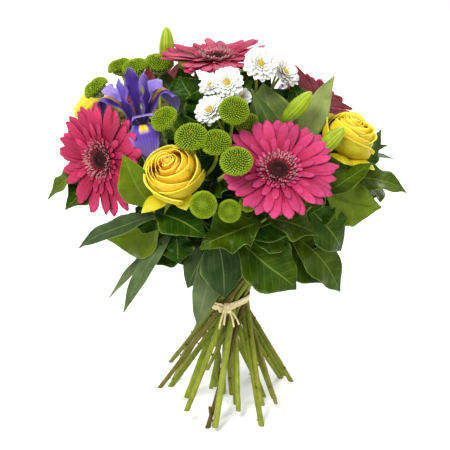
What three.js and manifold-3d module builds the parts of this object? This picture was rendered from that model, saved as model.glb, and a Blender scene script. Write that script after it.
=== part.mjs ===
// A hand-tied bouquet of mixed flowers that stands on its cut stem ends.
// Millimetres, +Z up. The origin is on the floor, straight below the binding.
// Azimuth 0 is the bouquet's front (-Y), 90 its right side (+X); elevation 90 is straight up.

import Module from "manifold-3d";
import * as THREE from "three";
import { mergeVertices } from "three/addons/utils/BufferGeometryUtils.js";

const wasm = await Module();
wasm.setup();

const BINDING_HEIGHT = 117;
const BINDING_BAND = 13;
const SEAT_GAP = 0.35;
const STEM_GAP = 0.55;
const TIGHTENING = 0.999;
const TIGHTENING_ROUNDS = 600;
const WAIST_RINGS = [{ radius: 5.6, places: 5 }, { radius: 12.4, places: 12 }, { radius: 20, places: 18 }];
const HOOP_SIDES = 16;
const STEM_SIDES = 5;
const CUP_SIDES = 6;
const TWIG_SIDES = 3;

const GERBERA = { radius: 54, neck: 26, back: 15, stem: 2.8, rays: 13 };
const ROSE = { height: 40, neck: 24, stem: 3, hip: 8, sides: 15 };
const IRIS = { neck: 24, back: 24, stem: 3.2 };
const MUM = { stem: 2.4, branch: 1.5, sides: 8 };
const DAISY = { radius: 13.5, stem: 2.1, branch: 1.2, petals: 10 };
const LILY_BUD = { radius: 6.6, stem: 3, branch: 1.7 };
const LEAFY_STEM = 2.3;
const NARROW_STEM = 1.9;
const LEAF_THICKNESS = 1.3;
const PETAL_THICKNESS = 1.2;

// Where each flower head sits: its middle, the way it faces, and the height of its stem's foot.
const gerberas = [
  { name: "left", at: [-115, -58, 281], faces: [-40, 5], cup: 4, foot: 0, colour: 0xb8285a },
  { name: "front", at: [48, -98, 283], faces: [8, 50], cup: 9, foot: 0, colour: 0xd4407f },
  { name: "top", at: [-8, 12, 361], faces: [0, 84], cup: 8, foot: 0, colour: 0xbe2f5c },
  { name: "back_right", at: [95, 50, 309], faces: [125, 42], cup: 6, foot: 16, colour: 0x8e1f3c },
  { name: "back_left", at: [-74, 90, 305], faces: [-142, 40], cup: 6, foot: 14, colour: 0x8e1f3c },
];
const roses = [
  { name: "front", at: [-46, -104, 281], faces: [-18, 45], foot: 0 },
  { name: "right", at: [117, -25, 294], faces: [60, 62], foot: 24 },
  { name: "left", at: [-127, 40, 301], faces: [-112, 34], foot: 22 },
  { name: "back", at: [-12, 120, 284], faces: [-176, 36], foot: 0 },
];
const irises = [
  { name: "left", at: [-78, -46, 310], faces: [-35, 75], spin: 75, foot: 0 },
  { name: "back", at: [48, 100, 266], faces: [155, 32], spin: 0, foot: 6 },
];

// Button chrysanthemum sprays: where the stem forks, then each head's middle, facing and size.
const mumSprays = [
  { name: "left", fork: [-24, -56, 262], foot: 0, heads: [
    { at: [-54, -80, 325], faces: [-60, 50], size: 0.95 },
    { at: [-30, -95, 312], faces: [-15, 62], size: 1.1 },
    { at: [-8, -98, 308], faces: [-8, 60], size: 1 }] },
  { name: "centre", fork: [2, -50, 262], foot: 0, heads: [
    { at: [8, -80, 333], faces: [5, 43], size: 1 },
    { at: [21, -54, 313], faces: [15, 60], size: 0.9 },
    { at: [10, -122, 298], faces: [-4, 55], size: 1.05, via: [-16, -104, 270] }] },
  { name: "low", fork: [-4, -78, 226], foot: 34, heads: [
    { at: [-19, -132, 262], faces: [-4, 20], size: 0.88 },
    { at: [4, -126, 254], faces: [4, 14], size: 0.75 },
    { at: [20, -112, 256], faces: [10, 25], size: 0.55 }] },
  { name: "top_left", fork: [-62, 14, 292], foot: 0, heads: [
    { at: [-65, 30, 351], faces: [0, 88], size: 1.08 },
    { at: [-87, 18, 350], faces: [-90, 75], size: 0.95 },
    { at: [-123, 0, 334], faces: [-95, 50], size: 0.95 },
    { at: [-104, 44, 345], faces: [-110, 70], size: 0.9 }] },
  { name: "back", fork: [6, 66, 268], foot: 10, heads: [
    { at: [-4, 76, 340], faces: [-170, 72], size: 1 },
    { at: [16, 96, 320], faces: [170, 50], size: 1 },
    { at: [94, 100, 268], faces: [140, 30], size: 1, via: [64, 84, 262] },
    { at: [-46, 128, 258], faces: [-165, 20], size: 0.9, via: [-26, 96, 252] }] },
];

// White daisy sprays.
const daisySprays = [
  { name: "front", fork: [2, -30, 290], foot: 0, heads: [
    { at: [2, -54, 353], faces: [-5, 28], size: 1 },
    { at: [-13, -50, 350], faces: [-30, 50], size: 0.8 },
    { at: [-14, -68, 331], faces: [-32, 42], size: 1 },
    { at: [16, -46, 338], faces: [10, 40], size: 0.6 }] },
  { name: "right", fork: [36, -4, 294], foot: 18, heads: [
    { at: [33, -38, 367], faces: [14, 34], size: 1.1 },
    { at: [57, -6, 352], faces: [48, 42], size: 1.1 },
    { at: [54, 34, 350], faces: [130, 60], size: 1 }] },
];

// Lily stems with closed buds and a few leaves: each bud runs from its foot to its tip.
const lilies = [
  { name: "left", fork: [-46, 34, 296], foot: 0,
    buds: [{ from: [-59, 50, 343], tip: [-58, 54, 384], size: 1 },
      { from: [-43, 64, 337], tip: [-42, 67, 363], size: 0.75 }],
    leaves: [{ along: 0.6, tip: [-76, 48, 357], width: 20, faces: [0, 60] },
      { along: 0.35, tip: [-28, 62, 338], width: 20, faces: [160, 50] }] },
  { name: "right", fork: [48, -34, 272], foot: 0,
    buds: [{ from: [54, -45, 314], tip: [80, -44, 342], size: 1.05 },
      { from: [84, -58, 286], tip: [110, -56, 311], size: 1.05 }],
    leaves: [{ along: 0.8, tip: [106, -8, 348], width: 42, faces: [5, 20] },
      { along: 0.8, tip: [36, -18, 344], width: 50, faces: [0, 20] },
      { along: 0.75, tip: [27, -64, 347], width: 22, faces: [20, 10] }] },
];

// Broad-leaved greenery: the twig's points above the straight stem, and each leaf's tip.
const broadStems = [
  { name: "front_low", twig: [[6, -62, 186], [10, -92, 214], [38, -100, 238]], foot: 0, leaves: [
    { along: 0.5, tip: [68, -95, 166], width: 56, faces: [10, 42] },
    { along: 1, tip: [85, -105, 224], width: 38, faces: [20, 58] },
    { along: 0.92, tip: [-23, -121, 218], width: 42, faces: [-4, 50] },
    { along: 0.7, tip: [62, -84, 206], width: 36, faces: [10, 42] }] },
  { name: "front_right", twig: [[34, -50, 186], [58, -74, 214], [76, -78, 238], [94, -68, 251]], foot: 32,
    leaves: [
    { along: 0.36, tip: [112, -62, 149], width: 48, faces: [28, 32] },
    { along: 0.7, tip: [112, -72, 197], width: 46, faces: [25, 42] },
    { along: 1, tip: [146, -58, 233], width: 46, faces: [200, -28] },
    { along: 0.9, tip: [139, -45, 273], width: 24, faces: [10, 60] },
    { along: 0.5, tip: [104, -58, 244], width: 40, faces: [12, 45] }] },
  { name: "front_centre", twig: [[-8, -40, 222], [-14, -54, 246], [-12, -62, 260]], foot: 0, leaves: [
    { along: 1, tip: [-34, -72, 286], width: 38, faces: [-15, 35] },
    { along: 0.8, tip: [14, -88, 276], width: 38, faces: [8, 40] },
    { along: 0.5, tip: [-34, -98, 238], width: 32, faces: [-12, 48] }] },
  { name: "right", twig: [[62, -18, 205], [96, -24, 238], [118, -26, 253]], foot: 30, leaves: [
    { along: 1, tip: [176, -30, 242], width: 34, faces: [20, 62] },
    { along: 0.8, tip: [162, 10, 226], width: 44, faces: [80, 40] },
    { along: 0.5, tip: [130, 16, 190], width: 44, faces: [70, 38] },
    { along: 0.95, tip: [153, 8, 292], width: 22, faces: [40, 8] },
    { along: 0.8, tip: [98, -36, 300], width: 38, faces: [5, 20] },
    { along: 0.6, tip: [120, 32, 258], width: 44, faces: [95, 35] }] },
  { name: "back_right", twig: [[52, 46, 212], [86, 76, 238], [98, 92, 246]], foot: 0, leaves: [
    { along: 0.8, tip: [148, 76, 220], width: 44, faces: [110, 45] },
    { along: 1, tip: [112, 136, 226], width: 42, faces: [140, 45] },
    { along: 0.5, tip: [72, 126, 190], width: 50, faces: [150, 30] },
    { along: 0.95, tip: [146, 96, 268], width: 36, faces: [125, 50] }] },
  { name: "left_low", twig: [[-28, -52, 192], [-56, -76, 222], [-66, -96, 246]], foot: 0, leaves: [
    { along: 0.6, tip: [-112, -54, 200], width: 48, faces: [165, -30] },
    { along: 0.9, tip: [-17, -119, 228], width: 38, faces: [-8, 52] },
    { along: 1, tip: [-90, -109, 299], width: 34, faces: [-8, 25] }] },
  { name: "left", twig: [[-60, -18, 212], [-100, -24, 244], [-126, -20, 264]], foot: 30, leaves: [
    { along: 1, tip: [-170, -38, 235], width: 26, faces: [-40, 55] },
    { along: 0.75, tip: [-153, -42, 226], width: 38, faces: [-30, 50] },
    { along: 0.97, tip: [-149, -16, 311], width: 34, faces: [-70, 15] },
    { along: 0.7, tip: [-150, 26, 228], width: 42, faces: [-100, 45] },
    { along: 0.5, tip: [-116, 34, 256], width: 44, faces: [-95, 35] }] },
  { name: "back_left", twig: [[-46, 44, 210], [-78, 72, 238], [-90, 90, 250]], foot: 26, leaves: [
    { along: 0.8, tip: [-138, 84, 226], width: 44, faces: [-120, 45] },
    { along: 1, tip: [-98, 136, 232], width: 42, faces: [-145, 45] },
    { along: 0.5, tip: [-60, 122, 190], width: 48, faces: [-150, 30] },
    { along: 0.95, tip: [-146, 74, 268], width: 36, faces: [-120, 50] }] },
  { name: "back", twig: [[8, 58, 205], [12, 92, 232], [14, 108, 242]], foot: 22, leaves: [
    { along: 0.9, tip: [56, 142, 214], width: 44, faces: [165, 45] },
    { along: 1, tip: [-20, 147, 222], width: 44, faces: [-170, 45] },
    { along: 0.5, tip: [12, 124, 178], width: 50, faces: [180, 30] }] },
  { name: "centre", twig: [[-10, -4, 250], [-16, -12, 286], [-20, -12, 306]], foot: 0, leaves: [
    { along: 1, tip: [-44, 4, 345], width: 44, faces: [-10, 15] },
    { along: 0.85, tip: [-10, -14, 343], width: 44, faces: [0, 15] },
    { along: 0.6, tip: [-54, -50, 302], width: 40, faces: [-20, 35] },
    { along: 0.6, tip: [10, -38, 324], width: 40, faces: [5, 35] },
    { along: 0.5, tip: [34, 22, 326], width: 40, faces: [20, 40] }] },
];

// Narrow grey-green greenery.
const narrowStems = [
  { name: "left", twig: [[-38, -42, 196], [-50, -72, 224], [-60, -92, 238]], foot: 0, leaves: [
    { along: 1, tip: [-139, -75, 201], width: 24, faces: [-10, 60] },
    { along: 0.35, tip: [-97, -90, 140], width: 22, faces: [-25, 25] },
    { along: 0.05, tip: [-112, -60, 142], width: 26, faces: [-40, 50] }] },
  { name: "front", twig: [[-12, -38, 178], [-14, -68, 200], [-6, -86, 222]], foot: 0, leaves: [
    { along: 0.55, tip: [-27, -80, 121], width: 26, faces: [-4, 22] },
    { along: 0.9, tip: [0, -94, 156], width: 44, faces: [8, 24] },
    { along: 0.6, tip: [-36, -74, 158], width: 26, faces: [-16, 32] }] },
  { name: "right", twig: [[70, 14, 222], [106, 14, 250], [132, 10, 262]], foot: 45, leaves: [
    { along: 1, tip: [159, 4, 277], width: 10, faces: [0, 60] },
    { along: 0.8, tip: [172, 44, 250], width: 24, faces: [110, 50] },
    { along: 0.5, tip: [140, 50, 188], width: 24, faces: [110, 40] }] },
  { name: "back", twig: [[-14, 58, 212], [-34, 92, 230], [-44, 106, 238]], foot: 14, leaves: [
    { along: 1, tip: [-68, 146, 200], width: 24, faces: [-160, 45] },
    { along: 0.7, tip: [-8, 144, 160], width: 24, faces: [-175, 35] },
    { along: 0.4, tip: [-60, 112, 152], width: 20, faces: [-150, 35] }] },
];

const point = (place) => new THREE.Vector3(...place);
const radians = THREE.MathUtils.degToRad;

// Points from a start along a direction by a distance.
const along = (start, direction, distance) => start.clone().addScaledVector(direction, distance);

function facing([azimuth, elevation]) {
  const level = Math.cos(radians(elevation));
  const turn = radians(azimuth);
  return new THREE.Vector3(Math.sin(turn) * level, -Math.cos(turn) * level, Math.sin(radians(elevation)));
}

// Repeatable scatter between -1 and 1, so that no two petals are alike.
function scatter(seed, index) {
  const wave = Math.sin(seed * 127.1 + index * 311.7) * 43758.5453;
  return 2 * (wave - Math.floor(wave)) - 1;
}

// A flower head's own axes: `out` is the way it faces, `side` is level, `up` completes them.
function headFrame(at, faces, spin = 0) {
  const out = facing(faces);
  const side = new THREE.Vector3(0, 0, 1).cross(out);
  if (side.length() < 0.05) side.set(1, 0, 0);
  side.normalize();
  const up = out.clone().cross(side);
  const turn = radians(spin);
  return {
    origin: point(at),
    out,
    side: side.clone().multiplyScalar(Math.cos(turn)).addScaledVector(up, Math.sin(turn)),
    up: up.clone().multiplyScalar(Math.cos(turn)).addScaledVector(side, -Math.sin(turn)),
  };
}

// A point given by radius, azimuth (radians) and height in a flower head's axes.
function headPoint(frame, radius, azimuth, height) {
  return frame.origin.clone()
    .addScaledVector(frame.side, radius * Math.cos(azimuth))
    .addScaledVector(frame.up, radius * Math.sin(azimuth))
    .addScaledVector(frame.out, height);
}

// A closed solid from points and triangles, turned so that its faces point out.
function closedSolid(points, triangles) {
  const volume = triangles.reduce((sum, [a, b, c]) =>
    sum + points[a].dot(points[b].clone().cross(points[c])), 0);
  const outward = volume > 0 ? triangles : triangles.map(([a, b, c]) => [a, c, b]);
  return new wasm.Manifold(new wasm.Mesh({
    numProp: 3,
    vertProperties: new Float32Array(points.flatMap((p) => [p.x, p.y, p.z])),
    triVerts: new Uint32Array(outward.flat()),
  }));
}

// A closed skin through sections of equal count. A section of one point closes to a tip.
// `crossed` says for each side of the section which way its four-cornered fields are split.
function skin(sections, crossed = []) {
  const points = [];
  const starts = sections.map((section) => points.push(...section) - section.length);
  const triangles = [];
  for (let i = 0; i + 1 < sections.length; i += 1) {
    const sides = Math.max(sections[i].length, sections[i + 1].length);
    for (let k = 0; k < sides; k += 1) {
      const next = (k + 1) % sides;
      const low = starts[i];
      const high = starts[i + 1];
      const cornersLow = [low + k, low + next];
      const cornersHigh = [high + k, high + next];
      if (sections[i].length === 1) triangles.push([low, cornersHigh[1], cornersHigh[0]]);
      else if (sections[i + 1].length === 1) triangles.push([...cornersLow, high]);
      else {
        const [across, rest] = crossed[k] ? [cornersHigh[0], cornersLow[1]] : [cornersHigh[1], cornersLow[0]];
        triangles.push([...cornersLow, across], [rest, cornersHigh[1], cornersHigh[0]]);
      }
    }
  }
  const last = sections.length - 1;
  const bottom = starts[0];
  const top = starts[last];
  for (let k = 1; k + 1 < sections[0].length; k += 1) triangles.push([bottom, bottom + k + 1, bottom + k]);
  for (let k = 1; k + 1 < sections[last].length; k += 1) triangles.push([top, top + k, top + k + 1]);
  return closedSolid(points, triangles);
}

// A rod through points with a radius at each. `level` cuts its first end flat at that height.
function rod(points, radii, sides, swell = 0, level = null) {
  const count = points.length;
  const tangents = points.map((p, i) =>
    points[Math.min(i + 1, count - 1)].clone().sub(points[Math.max(i - 1, 0)]).normalize());
  const across = new THREE.Vector3(0.37, -0.91, 0.19);
  const sections = points.map((p, i) => {
    across.addScaledVector(tangents[i], -across.dot(tangents[i])).normalize();
    const other = tangents[i].clone().cross(across);
    const end = i === 0 ? -swell : i === count - 1 ? swell : 0;
    const centre = along(p, tangents[i], end);
    if (radii[i] === 0) return [centre];
    return Array.from({ length: sides }, (_, k) => {
      const angle = (2 * Math.PI * k) / sides;
      const corner = along(along(centre, across, (radii[i] + swell) * Math.cos(angle)),
        other, (radii[i] + swell) * Math.sin(angle));
      if (i > 0 || level === null || swell > 0) return corner;
      return along(corner, tangents[0], (level - corner.z) / tangents[0].z);
    });
  });
  return skin(sections);
}

// A thin blade, thickest along its rib. Each station has a centre, a side direction, an upward
// direction, a half width and the height of its edges above the rib.
function blade(stations, thickness, swell = 0) {
  const count = stations.length;
  const sections = stations.map(({ centre, side, up, half, lift }, i) => {
    const ahead = stations[Math.min(i + 1, count - 1)].centre.clone()
      .sub(stations[Math.max(i - 1, 0)].centre).normalize();
    const middle = along(centre, ahead, i === 0 ? -swell : i === count - 1 ? swell : 0);
    const rise = thickness / 2;
    const left = along(along(middle, side, -half - swell), up, lift);
    const right = along(along(middle, side, half + swell), up, lift);
    if (swell === 0) return [left, along(middle, up, rise), right, along(middle, up, -rise)];
    return [along(left, up, swell), along(middle, up, rise + swell), along(right, up, swell),
      along(right, up, -swell), along(middle, up, -rise - swell), along(left, up, -swell)];
  });
  const alike = swell === 0 ? [false, true, false, true] : [false, true, false, false, true, false];
  return skin(sections, alike);
}

// A wheel of petals round a thin hub, in one skin. Each petal is flat above and keeled below,
// and runs through its rows of radius, height, half width and keel; no half width is a tip.
// The hub rises to its top and falls to its bottom height at the middle.
function petalWheel(frame, petals, keel, [top, bottom]) {
  const points = [headPoint(frame, 0, 0, top), headPoint(frame, 0, 0, bottom)];
  const triangles = [];
  const rims = petals.map(({ azimuth, rows }) => headStations(frame, azimuth, rows)
    .map(({ centre, side, up, half, deep }) => {
      const corners = half === 0 ? [centre]
        : [along(centre, side, -half), along(centre, side, half), along(centre, up, -keel * deep)];
      const start = points.push(...corners) - corners.length;
      return corners.map((_, k) => start + k);
    }));
  rims.forEach((rim, k) => {
    const [left, right, low] = rim[0];
    const [nextLeft] = rims[(k + 1) % rims.length][0];
    triangles.push([0, left, right], [0, right, nextLeft]);
    triangles.push([1, low, left], [1, right, low], [1, nextLeft, right]);
    for (let i = 0; i + 1 < rim.length; i += 1) {
      const [l, r, d] = rim[i];
      const [farL, farR, farD] = rim[i + 1];
      if (rim[i + 1].length === 1) triangles.push([r, l, farL], [l, d, farL], [d, r, farL]);
      else {
        triangles.push([r, l, farL], [r, farL, farR]);
        triangles.push([l, d, farD], [l, farD, farL], [d, r, farR], [d, farR, farD]);
      }
    }
    const end = rim[rim.length - 1];
    if (end.length === 3) triangles.push([end[1], end[0], end[2]]);
  });
  return closedSolid(points, triangles);
}

// Petals spread evenly round a head, each made by a rule from its number.
const spread = (count, shift, rule) => Array.from({ length: count }, (_, k) => {
  const { sway = 0, rows } = rule(k);
  return { azimuth: (2 * Math.PI * (k + shift + sway)) / count, rows };
});

const join = (solids) => wasm.Manifold.union(solids);

// Stations of a blade that runs out from a head, from rows of radius, height, half width and the
// share of the keel's depth.
function headStations(frame, azimuth, rows) {
  const across = headPoint({ ...frame, origin: new THREE.Vector3() }, 1, azimuth + Math.PI / 2, 0);
  const centres = rows.map(([radius, height]) => headPoint(frame, radius, azimuth, height));
  const last = rows.length - 1;
  return rows.map(([, , half, deep = 1], i) => {
    const ahead = centres[Math.min(i + 1, last)].clone().sub(centres[Math.max(i - 1, 0)]);
    const up = ahead.cross(across).normalize();
    return { centre: centres[i], side: across, up, half, lift: 0, deep };
  });
}

// A round closed body in a head's axes, from rows of radius and height. `relief` moves each corner
// out by a share of its radius and up by a height.
const plain = () => [0, 0];
function turned(frame, rows, sides, relief = plain, swell = 0) {
  return skin(rows.map(([radius, height], i) => {
    const end = i === 0 ? -swell : i === rows.length - 1 ? swell : 0;
    if (radius === 0) return [headPoint(frame, 0, 0, height + end)];
    return Array.from({ length: sides }, (_, k) => {
      const azimuth = (2 * Math.PI * (k + (relief === plain ? 0 : (i % 2) / 2))) / sides;
      const [out, rise] = swell > 0 ? [0.06, 0] : relief(i, k, azimuth);
      return headPoint(frame, (radius + swell) * (1 + out), azimuth, height + end + rise);
    });
  }));
}

// The stem's route from its straight part over a bend into the back of a flower head.
function bentRoute(waist, neck, back, footHeight) {
  const direction = neck.clone().sub(waist).normalize();
  const foot = along(waist, direction, (footHeight - waist.z) / direction.z);
  const bendLength = Math.min(34, 0.5 * neck.distanceTo(waist));
  const bend = new THREE.QuadraticBezierCurve3(along(neck, direction, -bendLength), neck, back);
  return [foot, ...bend.getPoints(3)];
}

// Closest points of two straight stems between their feet and their necks.
function closestShares(a, b) {
  const u = a.foot.clone().sub(a.neck);
  const v = b.foot.clone().sub(b.neck);
  const w = a.neck.clone().sub(b.neck);
  const uu = u.dot(u);
  const uv = u.dot(v);
  const vv = v.dot(v);
  const uw = u.dot(w);
  const vw = v.dot(w);
  const share = THREE.MathUtils.clamp((uv * vw - vv * uw) / Math.max(uu * vv - uv * uv, 1e-9), 0, 1);
  const other = THREE.MathUtils.clamp((uv * share + vw) / vv, 0, 1);
  return [THREE.MathUtils.clamp((uv * other - uw) / uu, 0, 1), other];
}

// Lays the stems through the binding in a spiral, steep ones inside, and then moves them apart
// in the binding's plane until each clears its neighbours over its whole straight length.
function tieStems(stems) {
  const atWaist = (stem) => stem.neck.clone().setZ(BINDING_HEIGHT);
  const slope = (stem) => atWaist(stem).setZ(0).length() / (stem.neck.z - BINDING_HEIGHT);
  const bySlope = [...stems].sort((a, b) => slope(a) - slope(b));
  let first = 0;
  for (const ring of WAIST_RINGS) {
    const members = bySlope.slice(first, first + ring.places);
    first += ring.places;
    for (const stem of members) {
      const reach = Math.max(Math.hypot(stem.neck.x, stem.neck.y), ring.radius + 1);
      stem.turn = Math.atan2(stem.neck.y, stem.neck.x) - Math.acos(ring.radius / reach);
      stem.turn = THREE.MathUtils.euclideanModulo(stem.turn, 2 * Math.PI);
    }
    members.sort((a, b) => a.turn - b.turn);
    const pitch = (2 * Math.PI) / members.length;
    const shift = members.reduce((sum, stem, k) => sum + (stem.turn - k * pitch), 0) / members.length;
    members.forEach((stem, k) => {
      const angle = k * pitch + shift;
      const [x, y] = [ring.radius * Math.cos(angle), ring.radius * Math.sin(angle)];
      stem.waist = new THREE.Vector3(x, y, BINDING_HEIGHT);
    });
  }
  for (let round = 0; round < TIGHTENING_ROUNDS; round += 1) {
    for (const stem of stems) {
      stem.waist.x *= TIGHTENING;
      stem.waist.y *= TIGHTENING;
      const direction = stem.waist.clone().sub(stem.neck);
      stem.foot = along(stem.neck, direction, stem.neck.z / -direction.z);
    }
    for (let i = 0; i < stems.length; i += 1) {
      for (let j = i + 1; j < stems.length; j += 1) pushApart(stems[i], stems[j]);
    }
  }
}

function pushApart(a, b) {
  const [shareA, shareB] = closestShares(a, b);
  const gap = a.neck.clone().lerp(a.foot, shareA).sub(b.neck.clone().lerp(b.foot, shareB));
  const wanted = a.radius + b.radius + STEM_GAP;
  const distance = gap.length();
  if (distance >= wanted) return;
  const shove = gap.setZ(0).normalize().multiplyScalar(0.5 * (wanted - distance));
  a.waist.addScaledVector(shove, Math.min(1, shareA + 0.3));
  b.waist.addScaledVector(shove, -Math.min(1, shareB + 0.3));
}

// What takes room in the bouquet, first come first served: a later solid gives way to the earlier
// ones of other sub-parts, swollen by the seat gap.
const claims = [];
const subParts = new Map();

function claim(name, shape, room = shape) {
  claims.push({ name, shape, room });
  if (!subParts.has(name)) subParts.set(name, []);
}

const boxesMeet = (a, b) => [0, 1, 2].every((k) => a.min[k] <= b.max[k] && b.min[k] <= a.max[k]);

function settle() {
  const taken = [];
  for (const { name, shape, room } of claims) {
    let solid = shape(0);
    const box = solid.boundingBox();
    const near = taken.filter((other) => other.name !== name && boxesMeet(box, other.box));
    if (near.length > 0) solid = solid.subtract(join(near.map((other) => other.solid)));
    if (!solid.isEmpty()) subParts.get(name).push(solid);
    const kept = room(SEAT_GAP);
    taken.push({ name, solid: kept, box: kept.boundingBox() });
  }
}

// One body: the largest piece of everything joined, without the scraps that were cut off.
function oneBody(name) {
  const bodies = join(subParts.get(name)).decompose();
  return bodies.reduce((best, body) => (body.volume() > best.volume() ? body : best));
}

// A stem in one skin with the cup below its flower: rows of radius and height on the flower's axis.
function flaredStem(name, route, radius, frame, cup, footHeight) {
  const points = [...route, ...cup.map(([, height]) => headPoint(frame, 0, 0, height))];
  const radii = [...route.map(() => radius), ...cup.map(([wide]) => wide)];
  claim(name, (swell) => rod(points, radii, CUP_SIDES, swell, footHeight));
}

// Gerbera: an involucre cup and stem, a plate of ray petals in two rows with a ring of short
// florets, and a dark domed eye.
function claimGerberaStem(flower) {
  const frame = headFrame(flower.at, flower.faces);
  const back = headPoint(frame, 0, 0, -GERBERA.back);
  const route = bentRoute(flower.line.waist, flower.line.neck, back, flower.foot);
  const cup = [[8.2, -9.5], [10.4, -4.7]];
  flaredStem(`gerbera_${flower.name}_stem`, route, GERBERA.stem, frame, cup, flower.foot);
}

function claimGerberaEye(flower) {
  const frame = headFrame(flower.at, flower.faces);
  const florets = (i, k) => [i > 0 && (i + k) % 2 ? 0.07 : -0.06, 0];
  claim(`gerbera_${flower.name}_eye`, (swell) =>
    turned(frame, [[8.2, 1], [9, 2.8], [6, 4.8], [0, 4.2]], 10, florets, swell));
}

function gerberaPetals(flower, seed) {
  const frame = headFrame(flower.at, flower.faces);
  const rows = [
    { shift: 0, reach: GERBERA.radius, base: -2.8, cup: flower.cup },
    { shift: 0.5, reach: 0.86 * GERBERA.radius, base: -0.9, cup: flower.cup + 2.5 },
  ];
  const root = 10.5;
  const rays = rows.flatMap(({ shift, reach, base, cup }, row) => spread(GERBERA.rays, shift, (k) => {
    const pick = seed * 40 + row * 20 + k;
    const length = (reach - root) * (1 + 0.05 * scatter(2, pick));
    const rise = length * Math.tan(radians(cup + 1.2 * scatter(3, pick)));
    return { sway: 0.05 * scatter(1, pick), rows: [[root, base, 0.5, 1],
      [root + 0.6 * length, base + 0.6 * rise, 6.3, 1], [root + length, base + rise - 1.5, 2.5, 0.6]] };
  }));
  const florets = spread(GERBERA.rays, 0.25, (k) => (
    { rows: [[root, 0.1, 0.9, 0.5], [22, 4.6 + scatter(4, seed * 30 + k), 0]] }));
  const petals = [...rays, ...florets].sort((a, b) => a.azimuth - b.azimuth);
  return petalWheel(frame, petals, PETAL_THICKNESS, [0.6, -4.2]);
}

function claimGerberaPetals(flower, seed) {
  const frame = headFrame(flower.at, flower.faces);
  const rim = Math.tan(radians(flower.cup)) * GERBERA.radius;
  const reach = 1.04 * GERBERA.radius;
  claim(`gerbera_${flower.name}_petals`, () => gerberaPetals(flower, seed), () =>
    turned(frame, [[10.5, -4.65], [14, -5], [reach, rim - 7], [reach, rim + 4], [24, 6], [11, 1.5]], 16));
}

// Rose: nested cups of petals with lobed and notched rims, and a stem with its receptacle and
// five sepals.
const ROSE_PROFILE = [[0, -20], [8, -19.5], [19, -13], [26, -2], [30, 10], [25.5, 5], [23, 14], [19.5, 8.5],
  [17, 17], [13.8, 11], [11, 18.5], [8, 13], [5, 19], [0, 14]];

function roseRims(row, azimuth) {
  if (row < 3) return [0, 0];
  const outer = row < 8;
  const wave = Math.cos((outer ? 5 : 3) * azimuth + 2.1 * Math.floor(row / 2));
  const notch = ((1 - wave) / 2) ** 2;
  const isRim = row % 2 === 0;
  return [(outer ? -0.11 : -0.07) * notch, isRim ? (outer ? -6 : -2.5) * notch : 0];
}

function claimRoseStem(flower) {
  const frame = headFrame(flower.at, flower.faces);
  const base = -0.5 * ROSE.height;
  const back = headPoint(frame, 0, 0, base - ROSE.hip);
  const route = bentRoute(flower.line.waist, flower.line.neck, back, flower.foot);
  const name = `rose_${flower.name}_stem`;
  claim(name, (swell) => rod(route, route.map(() => ROSE.stem), STEM_SIDES, swell, flower.foot));
  const sepals = spread(5, 0.25, () => (
    { rows: [[5.6, base - 4.6, 2.2, 1], [17, base - 5.5, 2.8, 1], [29, base - 11, 0]] }));
  claim(name, () => petalWheel(frame, sepals, 1.2, [base - SEAT_GAP, base - 14]), (swell) =>
    join(sepals.map(({ azimuth, rows }) => blade(headStations(frame, azimuth, rows), 2.4, swell))));
}

function claimRose(flower) {
  const frame = headFrame(flower.at, flower.faces, 20);
  const room = [[8, -20.4], [19, -14], [27, -3], [32, 11], [18, 19]];
  const cups = () => turned(frame, ROSE_PROFILE, ROSE.sides, (i, k, azimuth) => roseRims(i, azimuth));
  claim(`rose_${flower.name}_petals`, cups, (swell) => turned(frame, room, ROSE.sides, plain, swell));
}

// Iris: three drooping falls, three upright standards and three style arms round a short tube.
const IRIS_SETS = [
  { turn: 0, rows: [[3.6, -3, 2, 1], [20, 11, 5.5, 1], [37, 9, 12, 1], [42, -13, 6, 0.7]] },
  { turn: 60, rows: [[3.6, -2, 2, 1], [12, 26, 6.5, 1], [12.5, 53, 2.5, 0.6]] },
  { turn: 0, rows: [[3, 3, 1.8, 1], [18, 19, 6, 1], [30, 24, 4, 0.6]] },
];

function irisSolids(flower, swell) {
  const frame = headFrame(flower.at, flower.faces, flower.spin);
  const [falls, standards, styles] = IRIS_SETS.map(({ turn, rows }, kind) => spread(3, turn / 120, (k) => (
    { sway: 0.05 * scatter(7, kind * 3 + k), rows })));
  if (swell > 0) {
    return [...falls, ...standards, ...styles].map(({ azimuth, rows }) =>
      blade(headStations(frame, azimuth, rows), 2 * PETAL_THICKNESS, swell));
  }
  const outer = [...falls, ...standards].sort((a, b) => a.azimuth - b.azimuth);
  return [petalWheel(frame, outer, PETAL_THICKNESS, [0, -IRIS.back + SEAT_GAP]),
    petalWheel(frame, styles, PETAL_THICKNESS, [6, -6])];
}

function claimIrisStem(flower) {
  const frame = headFrame(flower.at, flower.faces);
  const back = headPoint(frame, 0, 0, -IRIS.back - 12);
  const route = bentRoute(flower.line.waist, flower.line.neck, back, flower.foot);
  const name = `iris_${flower.name}_stem`;
  flaredStem(name, route, IRIS.stem, frame, [[5.5, -IRIS.back - 5], [4, -IRIS.back]], flower.foot);
  const sheathRows = [[3, -IRIS.back - 8, 4], [8, -IRIS.back + 6, 5], [10, -2, 1]];
  const sheath = headStations(frame, radians(200), sheathRows);
  claim(name, (swell) => blade(sheath, LEAF_THICKNESS, swell));
}

function claimIris(flower) {
  const solid = (swell) => join(irisSolids(flower, swell));
  claim(`iris_${flower.name}_petals`, solid);
}

// Sprays: a stem that forks into thin branches, one to each head.
function branchRoute(fork, frame, back, via) {
  const end = headPoint(frame, 0, 0, -back);
  const turn = via ? point(via) : headPoint(frame, 0, 0, -back - 0.45 * end.distanceTo(fork));
  return new THREE.QuadraticBezierCurve3(fork, turn, end).getPoints(2);
}

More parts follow.
